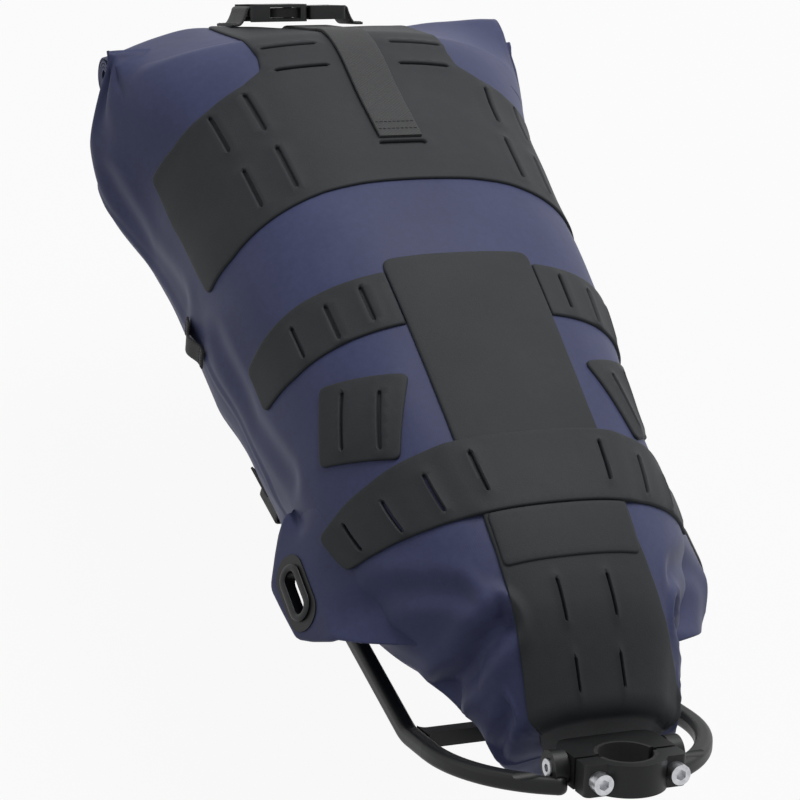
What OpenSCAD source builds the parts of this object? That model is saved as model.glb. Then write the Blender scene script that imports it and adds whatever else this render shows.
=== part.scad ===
// Roll-top bicycle seat pack with a support bracket and a two-half seatpost clamp.
// The origin is the centre of the clamp bore. +X points forward along the bag, +Y to the rider's left,
// and +Z away from the bag's belly. The bag lies behind the origin, so a reach is a distance along -X.
// All lengths are millimetres and all angles are degrees.

/* [Bag] */
// Distance from the seatpost axis back to the front of the nose
nose_reach = 32; // [31:1:45]
// Length of the bag from its nose to its mouth
bag_len = 476; // [400:1:600]
// Radius that rounds the front edge of the nose
nose_round = 6; // [3:0.5:9]
// Thickness of the coated fabric
skin_t = 1.6; // [1:0.1:1.9]
// Nose section: width, height, and height of its crown above the clamp centre
nose = [86, 58, 4]; // [1:1:120]
// Neck section: width, height, crown
neck = [120, 82, 31]; // [1:1:160]
// Shoulder section beside the ears: width, height, crown
shoulder = [182, 131, 43]; // [1:1:240]
// Middle section: width, height, crown
middle = [210, 169, 51]; // [1:1:260]
// Rear section: width, height, crown
rear = [226, 167, 45]; // [1:1:280]
// Tail section, where the bag starts to close: width, height, crown
tail = [259, 138, 38]; // [1:1:300]
// Mouth section, flattened for rolling: width, height, crown
mouth = [250, 12, 6]; // [1:1:320]

/* [Roll closure] */
// Outer radius of the rolled edge
roll_r = 11.5; // [9:0.5:18]
// Straight part of the flattened roll between its two round ends
roll_flat = 6; // [2:0.5:12]
// Number of turns in the roll
roll_turns = 3; // [2:1:4]
// Width and thickness of the stiff strip in the core of the roll
strip_size = [6, 2]; // [1:0.5:8]

/* [Panels] */
// Thickness of a reinforcement panel
panel_t = 1.2; // [0.8:0.1:2]
// Clearance between a sheet and the layer under it
layer_gap = 0.4; // [0.3:0.05:0.6]
// Width of a lash slit, as an angle round the bag
slit_angle = 1.6; // [1:0.1:2.4]
// Half width of the spine panel at its front and rear ends
spine_half = [37, 42]; // [25:1:42]
// Reach of the rear end of the spine panel
spine_rear = 296; // [240:1:320]
// Reach of the front and rear edges of the middle wings
mid_wing = [252, 288]; // [240:1:320]
// Reach of the front and rear edges of the lower band
lower_band_reach = [133, 173]; // [110:1:200]
// Distances of the rear panel's front edge and of its wings' rear edge ahead of the mouth
rear_panel_ahead = [156, 54]; // [40:1:190]
// Angle from the crown at which the wings end
wing_angle = 80; // [60:1:88]

/* [Straps and buckle] */
// Width of the webbing
web_w = 25; // [20:1:30]
// Thickness of the webbing
web_t = 1.6; // [1:0.1:2.2]
// Width beyond the webbing, length and thickness of the female half of the buckle
socket_size = [5, 36, 10]; // [4:1:44]
// Height of the buckle above the roll
buckle_lift = 7.5; // [7.5:0.5:16]
// Distance of the buckle from the middle plane
buckle_y = -9; // [-30:1:30]
// Lean of the buckle towards the rear
buckle_lean = 40; // [20:1:60]

/* [Ears] */
// Reach of the middle of the strap eyelet
eyelet_reach = 152; // [140:1:165]
// Distance of the eyelet from the middle plane
eyelet_y = 110; // [104:1:120]
// Height of the eyelet
eyelet_z = -40; // [-46:1:-30]
// Angle at which the ear hangs below the horizontal at the eyelet
ear_droop = 70; // [62:1:80]
// Thickness of the ear
ear_t = 2; // [1.2:0.1:3]
// Length and width of the eyelet flange
eyelet_size = [44, 22]; // [18:1:50]
// Length and width of the eyelet slot
eyelet_slot = [25, 8]; // [6.5:0.5:28]

/* [Bracket] */
// Width and height of the bracket bar
bar = [9, 9]; // [6:0.5:11]
// Radius of the bar's corners
bar_round = 3; // [1:0.5:4]
// Distance of each arm from the middle plane
arm_y = 71.5; // [66:0.5:78]
// Depth of the arms below the clamp centre, measured along the seatpost
arm_drop = 7; // [4:0.5:9]
// Plan radius of the sweep from the clamp to the arm
sweep_r = 70; // [60:1:80]
// Radius of the bend where the arm meets the belly
bend_r = 24; // [16:1:40]
// Reach of the rear end of the arms
arm_end_reach = 290; // [250:1:320]
// Width of the crossbar at its middle
crossbar_w = 8; // [6:0.5:10]

/* [Clamp] */
// Backward lean of the seatpost, seen from the bag
post_lean = 35; // [25:1:45]
// Diameter of the seatpost
post_d = 27.2; // [25.4:0.1:31.6]
// Thickness of the rubber liner
liner_t = 2; // [1.5:0.1:3]
// Height of the clamp along the seatpost
clamp_h = 16; // [14:1:22]
// Half of the clamp's width
clamp_half = 27; // [26.5:0.5:32]
// Gap between the two halves of the clamp
clamp_split = 2; // [1:0.5:4]
// Distance from the seatpost axis back to the rear face of the block
block_depth = 26; // [24:0.5:28]
// Wall of the cap in front of the seatpost
cap_wall = 4.6; // [3:0.2:7]
// Distance from the seatpost axis to the bolt lands on the cap
cap_land = 12; // [10:0.5:15]
// Half of the distance between the two clamp bolts
bolt_y = 20.5; // [20:0.1:23]
// Clamp bolt diameter
bolt_d = 6; // [5:0.5:6]
// Distance of the pivot bolts behind the seatpost axis
pivot_back = 12.5; // [12:0.1:15]
// Pivot bolt diameter
pivot_d = 5; // [4:0.5:5]

/* [Hidden] */
$fn = 48;

NAVY = "#36384d";
BLACK = "#2e3033";
PLASTIC = "#1c1d1f";
STEEL = "#b9bcc0";
RUBBER = "#262626";

TAIL_SHARE = 0.953;
// Sections of the bag from the nose to the mouth: share of the length, width, height, crown, squareness
SECTIONS = [
    [0, nose[0], nose[1], nose[2], 2.6],
    [0.103, neck[0], neck[1], neck[2], 2.6],
    [0.258, shoulder[0], shoulder[1], shoulder[2], 2.5],
    [0.563, middle[0], middle[1], middle[2], 2.6],
    [0.817, rear[0], rear[1], rear[2], 2.7],
    [TAIL_SHARE, tail[0], tail[1], tail[2], 2.45],
    [1, mouth[0], mouth[1], mouth[2], 2.3]
];
LAST = len(SECTIONS) - 1;
SHOULDER = 2;
WIDTH = 1;
HEIGHT = 2;
CROWN = 3;
SQUARE = 4;

mouth_reach = nose_reach + bag_len;
tail_reach = nose_reach + bag_len * TAIL_SHARE;
ring_sides = 40;
ring_step = 16;
tail_ring_step = 4.5;

// Layers over the skin, from the bag outwards
layer_1 = layer_gap;
layer_2 = layer_1 + panel_t + layer_gap;

// Clearance between two hard pieces that bear on each other
seat_gap = 0.05;
// Length of a cutting tool that must pass right through
through = 40;

// Roll
roll_reach = mouth_reach + layer_gap + roll_flat / 2 + roll_r;
roll_z = mouth[2] - roll_r;
roll_len = mouth[0] - 4;

// Clamp
bore_r = post_d / 2 + liner_t;
liner_gap = 0.05;
thread_gap = 0.05;
shank_gap = 0.3;
bolt_depth = 8;
bolt_head = [bolt_d * 0.85, bolt_d];
pivot_head = [pivot_d * 0.88, pivot_d * 0.9];
pivot_depth = 10;
boss_gap = 0.3;
boss_r = 8.5;
boss_len = 7.5;
boss_floor = 4;
block_corner = 8;
cap_corner = 3;

// Arms
arm_clear = 1.8;
arm_tip = [6, 5.3];
sweep_end_y = clamp_half + arm_tip[1];
sweep_angle = acos((sweep_end_y - arm_y + sweep_r) / sweep_r);
arm_tip_x = arm_tip[0] - pivot_back;
sweep_x = arm_tip_x - sweep_r * sin(sweep_angle);
arm_inner_y = arm_y - bar[0] / 2;
rest_front = nose_reach + bag_len * SECTIONS[SHOULDER][0];
rest_rear = arm_end_reach - 5;
rest_front_z = belly(rest_front, arm_inner_y) - arm_clear - bar[1] / 2;
rest_rear_z = belly(rest_rear, arm_inner_y) - arm_clear - bar[1] / 2;
arm_slope = atan((rest_front_z - rest_rear_z) / (rest_rear - rest_front));
arm_bend = post_lean - arm_slope;
corner_reach = (-arm_drop - cos(post_lean) * (rest_front_z + tan(arm_slope) * rest_front))
    / (sin(post_lean) - cos(post_lean) * tan(arm_slope));
corner_z = rest_front_z - tan(arm_slope) * (corner_reach - rest_front);
corner_x = -corner_reach * cos(post_lean) + corner_z * sin(post_lean);
bend_x = corner_x + bend_r * tan(arm_bend / 2);
tail_len = (arm_end_reach - corner_reach) / cos(arm_slope) - bend_r * tan(arm_bend / 2);

// Section values between the stations follow a smooth cubic curve
function station_reach(i) = nose_reach + bag_len * SECTIONS[i][0];
function station_slope(i, c) =
    let (a = max(0, i - 1), b = min(LAST, i + 1))
    (SECTIONS[b][c] - SECTIONS[a][c]) / (station_reach(b) - station_reach(a));
function span_of(reach, i = 0) =
    i >= LAST - 1 || reach < station_reach(i + 1) ? i : span_of(reach, i + 1);
function section_at(reach, c) =
    let (
        r = max(nose_reach, min(mouth_reach, reach)),
        i = span_of(r),
        h = station_reach(i + 1) - station_reach(i),
        t = (r - station_reach(i)) / h
    )
    (2 * t ^ 3 - 3 * t ^ 2 + 1) * SECTIONS[i][c]
    + (t ^ 3 - 2 * t ^ 2 + t) * h * station_slope(i, c)
    + (3 * t ^ 2 - 2 * t ^ 3) * SECTIONS[i + 1][c]
    + (t ^ 3 - t ^ 2) * h * station_slope(i + 1, c);
function nose_inset(reach) =
    let (d = max(0, nose_round - (reach - nose_reach)))
    nose_round - sqrt(nose_round ^ 2 - min(d, nose_round) ^ 2);
function mid_height(reach) = section_at(reach, CROWN) - section_at(reach, HEIGHT) / 2;

// Point on the skin at a reach and an angle from the crown, moved outwards by d
function skin(reach, angle, d = 0) =
    let (
        n = section_at(reach, SQUARE),
        rho = (abs(sin(angle)) ^ n + abs(cos(angle)) ^ n) ^ (1 / n),
        out = d - nose_inset(reach)
    )
    [
        -reach,
        (section_at(reach, WIDTH) / 2 + out) * sin(angle) / rho,
        mid_height(reach) + (section_at(reach, HEIGHT) / 2 + out) * cos(angle) / rho
    ];
function drop_share(reach, y) =
    let (n = section_at(reach, SQUARE), p = min(1, abs(y) / (section_at(reach, WIDTH) / 2)))
    (1 - p ^ n) ^ (1 / n);
function belly(reach, y) = mid_height(reach) - section_at(reach, HEIGHT) / 2 * drop_share(reach, y);
function crown_angle(reach, y) =
    sign(y) * atan2(min(1, abs(y) / (section_at(reach, WIDTH) / 2)), drop_share(reach, y));

function steps(a, b, n) = [for (i = [0:n]) a + (b - a) * i / n];
function fill(a, b, most) = steps(a, b, max(1, ceil((b - a) / most)));
function both_sides(half) = concat([for (i = [len(half) - 1:-1:0]) -half[i]], [0], half);
function within(v, range) = v > range[0] && v < range[1];
function slit(angle) = [angle - slit_angle / 2, angle + slit_angle / 2];
function in_any(r, a, cuts) = len([for (c = cuts) if (within(r, c[0]) && within(a, c[1])) 1]) > 0;
function quad(a, b, c, d) = [[a, b, c], [a, c, d]];
function smooth(t) = let (c = max(0, min(1, t))) c * c * (3 - 2 * c);

// Places a shape that is drawn in the seatpost's own directions
module on_post() {
    rotate([0, -post_lean, 0]) children();
}

// Solid sheet between two grids of points, without the cells that keep() leaves out
module sheet_solid(outer, inner, keep) {
    m = len(outer);
    n = len(outer[0]);
    function o(i, j) = i * n + j;
    function k(i, j) = m * n + i * n + j;
    function there(i, j) = i >= 0 && j >= 0 && i < m - 1 && j < n - 1 && keep(i, j);
    cells = [for (i = [0:m - 2], j = [0:n - 2]) if (there(i, j)) [i, j]];
    faces = [for (c = cells) let (i = c[0], j = c[1]) each concat(
        quad(o(i, j), o(i + 1, j), o(i + 1, j + 1), o(i, j + 1)),
        quad(k(i, j), k(i, j + 1), k(i + 1, j + 1), k(i + 1, j)),
        there(i, j - 1) ? [] : quad(o(i + 1, j), o(i, j), k(i, j), k(i + 1, j)),
        there(i + 1, j) ? [] : quad(o(i + 1, j + 1), o(i + 1, j), k(i + 1, j), k(i + 1, j + 1)),
        there(i, j + 1) ? [] : quad(o(i, j + 1), o(i + 1, j + 1), k(i + 1, j + 1), k(i, j + 1)),
        there(i - 1, j) ? [] : quad(o(i, j), o(i, j + 1), k(i, j + 1), k(i, j))
    )];
    polyhedron(concat([for (row = outer) each row], [for (row = inner) each row]), faces);
}

// Sheet that lies on the skin: reach(r, q) and angle(r, q) place each grid line, rise(r, q) lifts it
module skin_sheet(rows, cols, rise, t, cuts = [], reach = undef, angle = undef, keep = undef) {
    function reach_of(r, q) = is_undef(reach) ? r : reach(r, q);
    function angle_of(r, q) = is_undef(angle) ? q : angle(r, q);
    function middle_of(list, i) = (list[i] + list[i + 1]) / 2;
    function grid(lift) = [for (r = rows) [for (q = cols)
        skin(reach_of(r, q), angle_of(r, q), rise(r, q) + lift)]];
    sheet_solid(grid(t), grid(0), function(i, j)
        let (r = middle_of(rows, i), q = middle_of(cols, j))
        !in_any(r, abs(q), cuts) && (is_undef(keep) || keep(r, q)));
}

// Strip of thickness t, w wide, that lies at a clearance over a path of [x, z] points
module strip_along(path, clearance, t, w) {
    last = len(path) - 1;
    function ahead(i) = path[min(last, i + 1)] - path[max(0, i - 1)];
    function side(i) = let (v = ahead(i)) [v[1], -v[0]] / norm(v);
    inner = [for (i = [0:last]) path[i] + side(i) * clearance];
    outer = [for (i = [last:-1:0]) path[i] + side(i) * (clearance + t)];
    rotate([90, 0, 0]) translate([0, 0, -w / 2]) linear_extrude(w) polygon(concat(inner, outer));
}

function crown_point(reach) = let (p = skin(reach, 0)) [p[0], p[2]];
function belly_point(reach) = let (p = skin(reach, 180)) [p[0], p[2]];

// Rounded rectangle, a wide along X and b along Y
module round_rect(a, b, r) {
    square([a - 2 * r, b], center = true);
    square([a, b - 2 * r], center = true);
    for (x = [-1, 1], y = [-1, 1]) {
        translate([x * (a / 2 - r), y * (b / 2 - r)]) circle(r);
    }
}

module stadium(a, b) {
    square([a - b, b], center = true);
    for (x = [-1, 1]) {
        translate([x * (a - b) / 2, 0]) circle(b / 2);
    }
}

// Bag

function bag_rings() = concat(
    [nose_reach, nose_reach + nose_round / 3, nose_reach + nose_round],
    fill(nose_reach + nose_round * 2, tail_reach - tail_ring_step, ring_step),
    fill(tail_reach, mouth_reach, tail_ring_step)
);
// How far the inner face is moved forward where the rear of the bag closes steeply
function rear_wall(reach) = skin_t * smooth((reach - tail_reach) / (mouth_reach - tail_reach) + 0.5);
function inner_skin(reach, angle) =
    skin(max(reach, nose_reach + skin_t), angle, -skin_t) + [rear_wall(reach), 0, 0];

module bag_shell() {
    rings = bag_rings();
    angles = [for (j = [0:ring_sides - 1]) -180 + 360 * j / ring_sides];
    m = len(rings);
    n = ring_sides;
    outer = [for (r = rings) each [for (a = angles) skin(r, a)]];
    inner = [for (r = rings) each [for (a = angles) inner_skin(r, a)]];
    function o(i, j) = i * n + j % n;
    function k(i, j) = m * n + i * n + j % n;
    sides = [for (i = [0:m - 2], j = [0:n - 1]) each concat(
        quad(o(i, j), o(i + 1, j), o(i + 1, j + 1), o(i, j + 1)),
        quad(k(i, j), k(i, j + 1), k(i + 1, j + 1), k(i + 1, j))
    )];
    rim = [for (j = [0:n - 1]) each quad(o(m - 1, j + 1), o(m - 1, j), k(m - 1, j), k(m - 1, j + 1))];
    front = [[for (j = [0:n - 1]) o(0, j)], [for (j = [n - 1:-1:0]) k(0, j)]];
    color(NAVY) polyhedron(concat(outer, inner), concat(sides, rim, front));
}

// Flattened spiral of the rolled mouth
module roll_closure() {
    turn_sides = 20;
    core_r = strip_size[1] / 2 + skin_t + 1;
    pitch = (roll_r - core_r) / roll_turns;
    count = turn_sides * roll_turns;
    function bend(i, r) =
        let (a = 90 + 360 / turn_sides * (i + 0.5))
        [cos(a) * r + sign(cos(a)) * roll_flat / 2, sin(a) * r];
    function radius(i) = roll_r - pitch * i / turn_sides;
    flap_x = roll_flat / 2 + roll_r;
    outside = concat([[flap_x, roll_r]], [for (i = [0:count]) bend(i, radius(i))]);
    inside = concat([for (i = [count:-1:0]) bend(i, radius(i) - skin_t)], [[flap_x, roll_r - skin_t]]);
    color(NAVY) translate([-roll_reach, 0, roll_z]) rotate([90, 0, 0])
        translate([0, 0, -roll_len / 2]) linear_extrude(roll_len) polygon(concat(outside, inside));
}

module closure_strip() {
    strip_len = roll_len - 12;
    color(PLASTIC) translate([-roll_reach, 0, roll_z]) rotate([90, 0, 0])
        translate([0, 0, -strip_len / 2]) linear_extrude(strip_len)
        square(strip_size, center = true);
}

// Stiff board inside, along the belly
module base_board() {
    board_t = 2;
    half_angle = 40;
    slack = 0.9;
    ends = [75, mouth_reach - 178];
    color(PLASTIC) skin_sheet(
        fill(ends[0], ends[1], ring_step), steps(180 - half_angle, 180 + half_angle, 10),
        function(r, q) -skin_t - slack - board_t, board_t
    );
}

// Scuff panel outside, along the belly
module base_panel() {
    half_angle = 30;
    ends = [110, mouth_reach - 168];
    color(BLACK) skin_sheet(
        fill(ends[0], ends[1], ring_step), steps(180 - half_angle, 180 + half_angle, 8),
        function(r, q) layer_1, panel_t
    );
}

module rear_panel() {
    centre_angle = 27;
    front = mouth_reach - rear_panel_ahead[0];
    wing_end = mouth_reach - rear_panel_ahead[1];
    rear_end = mouth_reach - 16;
    slit_rows = [[front + 7, front + 39], [front + 55, front + 84]];
    slit_cols = [slit(35), slit(46)];
    cross_rows = [[wing_end - 5, wing_end - 2], [wing_end + 15, wing_end + 18]];
    cross_cols = [10.5, 24.5];
    strap_row = [front + 29, front + 32];
    strap_col = [0, 6.3];
    rows = concat(
        [front, slit_rows[0][0], front + 18], strap_row, [slit_rows[0][1]], slit_rows[1], cross_rows[0],
        [wing_end], cross_rows[1], fill(cross_rows[1][1] + 6, rear_end, 5)
    );
    half = concat([strap_col[1]], cross_cols, [centre_angle], slit_cols[0], [41], slit_cols[1],
        [54, 63, 72, wing_angle]);
    cuts = concat(
        [for (r = slit_rows, a = slit_cols) [r, a]],
        [for (r = cross_rows) [r, cross_cols]],
        [[strap_row, strap_col]]
    );
    wing_rake = 0.41;
    panel_clear = 0.5;
    rise = layer_1 + panel_clear;
    function wing_share(q) = 1 - max(0, abs(q) - centre_angle) * wing_rake / (wing_end - front);
    color(BLACK) skin_sheet(
        rows, both_sides(half), function(r, q) rise, panel_t, cuts,
        reach = function(r, q) r > wing_end ? r : front + (r - front) * wing_share(q),
        keep = function(r, q) r < wing_end || abs(q) < centre_angle
    );
}

function spine_at(reach) =
    spine_half[0] + (spine_half[1] - spine_half[0]) * (reach - nose_reach) / (spine_rear - nose_reach);

module spine_panel() {
    slit_rows = [[42, 53], [71, 91]];
    slit_share = [0.33, 0.39];
    rows = concat(
        [nose_reach + nose_round / 3, nose_reach + nose_round], slit_rows[0], [62], slit_rows[1],
        fill(110, spine_rear, ring_step)
    );
    half = [0.165, slit_share[0], slit_share[1], 0.6, 0.8, 1];
    color(BLACK) skin_sheet(
        rows, both_sides(half), function(r, q) layer_1, panel_t,
        [for (r = slit_rows) [r, slit_share]],
        angle = function(r, q) crown_angle(r, q * spine_at(r))
    );
}

module mid_wing(side) {
    slit_cols = [slit(31), slit(42), slit(54)];
    slit_rows = [mid_wing[0] + 6, mid_wing[1] - 8];
    cols = concat([0], [for (c = slit_cols) each c], [62, 71, wing_angle]);
    function edge(r) = crown_angle(r, spine_at(r) + layer_gap);
    ordered = side > 0 ? cols : [for (i = [len(cols) - 1:-1:0]) -cols[i]];
    color(BLACK) skin_sheet(
        [mid_wing[0], slit_rows[0], (slit_rows[0] + slit_rows[1]) / 2, slit_rows[1], mid_wing[1]],
        ordered, function(r, q) layer_1, panel_t,
        [for (c = slit_cols) [slit_rows, c]],
        angle = function(r, q) q == 0 ? side * edge(r) : q
    );
}

// Band that crosses the spine and reaches down both flanks
module lower_band() {
    slit_cols = [slit(21.5), slit(37), slit(53), slit(73)];
    slit_rows = [lower_band_reach[0] + 6, lower_band_reach[1] - 8];
    over_spine = 28;
    on_skin = 32;
    half = concat([10], slit_cols[0], [over_spine, on_skin], slit_cols[1], [45], slit_cols[2], [63],
        slit_cols[3], [wing_angle]);
    color(BLACK) skin_sheet(
        [
            lower_band_reach[0], slit_rows[0], (slit_rows[0] + slit_rows[1]) / 2, slit_rows[1],
            lower_band_reach[1]
        ],
        both_sides(half),
        function(r, q) abs(q) < on_skin ? layer_2 : layer_1, panel_t,
        [for (c = slit_cols) [slit_rows, c]]
    );
}

// Doubler on the spine in front of the band
module spine_patch() {
    rows = fill(101, lower_band_reach[0] - 0.6, 16);
    color(BLACK) skin_sheet(
        rows, both_sides([0.3, 0.6, 0.8, 0.96]), function(r, q) layer_2, panel_t,
        angle = function(r, q) crown_angle(r, q * spine_at(r))
    );
}

// Skewed square patch with two slits, between the wings
module lash_patch(side) {
    middle_reach = 207;
    middle_angle = 47.5;
    across = [14, 26];
    along = [41, 13];
    slit_q = [0.2, 0.3];
    slit_end = 0.34;
    far = [-0.5, -slit_q[1], -slit_q[0], 0, slit_q[0], slit_q[1], 0.5];
    rows = [-0.5, -slit_end, 0, slit_end, 0.5];
    color(BLACK) skin_sheet(
        rows, far, function(r, q) layer_1, panel_t, [[[-slit_end, slit_end], slit_q]],
        reach = function(r, q) middle_reach + r * along[0] + side * q * across[0],
        angle = function(r, q) side * (middle_angle - r * along[1]) + q * across[1]
    );
}

// Small lash loop that stands off the flank
module side_loop(side) {
    front = mouth_reach - 179;
    rows = [front, front + 5, front + 8, front + 20, front + 23, front + 28];
    angles = side > 0 ? [100, 104, 108] : [-108, -104, -100];
    stand = 3.5;
    color(BLACK) skin_sheet(
        rows, angles,
        function(r, q) within(r, [rows[1] + 1, rows[4] - 1]) ? layer_1 + stand : layer_1, panel_t
    );
}

// Ears

// Places a shape at the eyelet of the left ear: X along the bag, Y down the ear, Z out of it
module at_eyelet() {
    translate([-eyelet_reach, eyelet_y, eyelet_z]) rotate([-ear_droop, 0, 0]) children();
}

// Left ear: a sheet that leaves the flank, bends down and ends in a flat tab round the eyelet
module left_ear() {
    root_angle = wing_angle + 4.5;
    root_clear = 0.6;
    root_rise = layer_1 + root_clear + ear_t / 2;
    tab_top = -eyelet_size[1] / 2 - 2;
    tab_end = eyelet_size[1] / 2 + 4;
    root_reach = [eyelet_reach - 58, eyelet_reach + 62];
    tab_reach = [eyelet_reach - 41, eyelet_reach + 43];
    tip_reach = [eyelet_reach - 21, eyelet_reach + 18];
    tip_round = 8;
    hole = [eyelet_slot[0] / 2 + 3, eyelet_slot[1] / 2 + 2];
    bend_cols = [-60, -50, -40, -30, -20];
    bulge = [-0.35, 0.6];
    hole_rows = [for (s = [-1, 1]) (eyelet_reach + s * hole[0] - edge(0, 0)) / (edge(0, 1) - edge(0, 0))];
    tab_cols = [tab_top, -hole[1], hole[1], tab_end - tip_round, tab_end - tip_round / 3, tab_end];
    cols = concat(bend_cols, tab_cols);
    rows = concat([0, 0.06, 0.14], [hole_rows[0], 0.5, hole_rows[1]], [0.86, 0.94, 1]);
    down = [0, cos(ear_droop), -sin(ear_droop)];
    out = [0, sin(ear_droop), cos(ear_droop)];
    middle_point = [-eyelet_reach, eyelet_y, eyelet_z];
    function share(q) = (q - bend_cols[0]) / (tab_top - bend_cols[0]);
    function rounding(q) =
        let (d = max(0, q - tab_end + tip_round))
        tip_round - sqrt(max(0, tip_round ^ 2 - d ^ 2));
    function tab_share(q) = max(0, q - tab_top) / (tab_end - tab_top);
    function edge(q, k) =
        root_reach[k] + (tab_reach[k] - root_reach[k]) * min(1, share(q))
        + (tip_reach[k] - tab_reach[k]) * tab_share(q) + (k == 0 ? 1 : -1) * rounding(q);
    function reach(r, q) = edge(q, 0) + (edge(q, 1) - edge(q, 0)) * r;
    function tab(r, q, d) = [-reach(r, q), middle_point[1] + down[1] * q + out[1] * d,
        middle_point[2] + down[2] * q + out[2] * d];
    function root(r, d) = skin(reach(r, bend_cols[0]), root_angle, root_rise + d);
    function curved(r, q, d) =
        let (s = share(q), w = smooth(s) - s, a = root(r, d), b = tab(r, tab_top, d))
        [-reach(r, q), a[1] + (b[1] - a[1]) * (s + w * bulge[0]), a[2] + (b[2] - a[2]) * (s + w * bulge[1])];
    function place(r, q, d) = q < tab_top ? curved(r, q, d) : tab(r, q, d);
    function grid(d) = [for (r = rows) [for (q = cols) place(r, q, d)]];
    hole_row = [3, 4];
    hole_col = len(bend_cols) + 1;
    sheet_solid(
        grid(ear_t / 2), grid(-ear_t / 2),
        function(i, j) i < hole_row[0] || i > hole_row[1] || j != hole_col
    );
}

module ear_left() {
    color(NAVY) left_ear();
}

module ear_right() {
    color(NAVY) mirror([0, 1, 0]) left_ear();
}

eyelet_ring_t = 1.8;
barrel_wall = 1.4;

// Eyelet: a flange and barrel from outside, and a ring that snaps on from inside
module left_eyelet() {
    flange_t = 2;
    at_eyelet() difference() {
        union() {
            translate([0, 0, ear_t / 2]) linear_extrude(flange_t) stadium(eyelet_size[0], eyelet_size[1]);
            translate([0, 0, -ear_t / 2 - eyelet_ring_t])
                linear_extrude(ear_t + eyelet_ring_t + flange_t)
                stadium(eyelet_slot[0] + 2 * barrel_wall, eyelet_slot[1] + 2 * barrel_wall);
        }
        translate([0, 0, -through / 2]) linear_extrude(through) stadium(eyelet_slot[0], eyelet_slot[1]);
    }
}

module left_eyelet_ring() {
    barrel = 2 * (barrel_wall + seat_gap);
    at_eyelet() translate([0, 0, -ear_t / 2 - eyelet_ring_t]) linear_extrude(eyelet_ring_t) difference() {
        stadium(eyelet_size[0] - 2, eyelet_size[1] - 2);
        stadium(eyelet_slot[0] + barrel, eyelet_slot[1] + barrel);
    }
}

module eyelet_left() {
    color(PLASTIC) left_eyelet();
}

module eyelet_right() {
    color(PLASTIC) mirror([0, 1, 0]) left_eyelet();
}

module eyelet_ring_left() {
    color(PLASTIC) left_eyelet_ring();
}

module eyelet_ring_right() {
    color(PLASTIC) mirror([0, 1, 0]) left_eyelet_ring();
}

// Straps and buckle

strap_start = mouth_reach - 121;
strap_ridge = mouth_reach - 19;
strap_end = mouth_reach - 10;
anchor_end = mouth_reach - 17;

// Webbing that leaves a slit in the rear panel, spans from the ridge to the roll, goes round it and ends below
module compression_strap() {
    slack = 0.6;
    over = layer_2 + slack;
    hug = roll_r - over + layer_gap;
    leave_angle = 48;
    round_reach = roll_reach + roll_flat / 2;
    top = [for (r = fill(strap_start, strap_ridge, 12)) crown_point(r)];
    turn = [for (a = [leave_angle:-12:-90]) [-round_reach - hug * cos(a), roll_z + hug * sin(a)]];
    under = [for (r = [strap_end + 2.5, strap_end + 1, strap_end]) belly_point(r)];
    color(BLACK) strip_along(concat(top, turn, [[-roll_reach, roll_z - hug]], under), over, web_t, web_w);
}

// Patch that sews the end of the strap to the lower rear face
module strap_anchor() {
    anchor_t = 2;
    margin = 3;
    path = [for (r = fill(-strap_end + layer_gap, -anchor_end, 2)) belly_point(-r)];
    color(BLACK) strip_along(path, layer_1, anchor_t, web_w + 2 * margin);
}

// Places a shape at the buckle: X across the webbing, Y along it, Z out of the roll
module at_buckle() {
    translate([-roll_reach - roll_flat / 2, buckle_y, roll_z]) rotate([0, -buckle_lean, 0])
        translate([0, 0, roll_r + buckle_lift]) children();
}

buckle_wall = 3.2;
socket_w = web_w + socket_size[0];
mouth_y = 6;
socket_end = mouth_y - socket_size[1];
web_bar = 3;
bar_t = 4;
plug_start = mouth_y + 1;
plug_end = -socket_end;
slot_len = 6;
slot_wall = 3;
face_wall = 1.8;
prong_gap = 0.4;
cavity = [socket_w - 2 * buckle_wall, socket_size[2] - 2 * face_wall];
cavity_end = socket_end + web_bar + slot_len + slot_wall;
prong_x = cavity[0] / 2 - prong_gap;

module web_slot(end) {
    translate([0, end, 0]) cube([web_w + 1, slot_len, 2 * socket_size[2]], center = true);
}

// Thins the bar that the webbing turns round
module bar_relief(y) {
    deep = socket_size[2];
    for (z = [-1, 1]) {
        translate([0, y, z * (bar_t + deep) / 2]) cube([web_w + 1, 2 * web_bar + 1, deep], center = true);
    }
}

module buckle_socket() {
    slot_y = socket_end + web_bar + slot_len / 2;
    corner = 4;
    mouth_rim = 5;
    color(PLASTIC) at_buckle() difference() {
        translate([0, (socket_end + mouth_y) / 2, -socket_size[2] / 2])
            linear_extrude(socket_size[2]) round_rect(socket_w, socket_size[1], corner);
        translate([-cavity[0] / 2, cavity_end, -cavity[1] / 2]) cube([cavity[0], through, cavity[1]]);
        translate([-socket_w, cavity_end, -cavity[1] / 2])
            cube([2 * socket_w, mouth_y - cavity_end - mouth_rim, cavity[1]]);
        web_slot(slot_y);
        bar_relief(socket_end);
    }
}

module buckle_plug() {
    slot_y = plug_end - web_bar - slot_len / 2;
    tongue = [5, 15, 2.4];
    corner = 3;
    step = 1;
    color(PLASTIC) at_buckle() difference() {
        union() {
            translate([0, (plug_start + plug_end) / 2, step - socket_size[2] / 2])
                linear_extrude(socket_size[2] - 2 * step)
                round_rect(socket_w, plug_end - plug_start, corner);
            translate([-tongue[0] / 2, plug_start + 1 - tongue[1], -tongue[2] / 2]) cube(tongue + [0, 1, 0]);
        }
        web_slot(slot_y);
        bar_relief(plug_end);
    }
}

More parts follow.
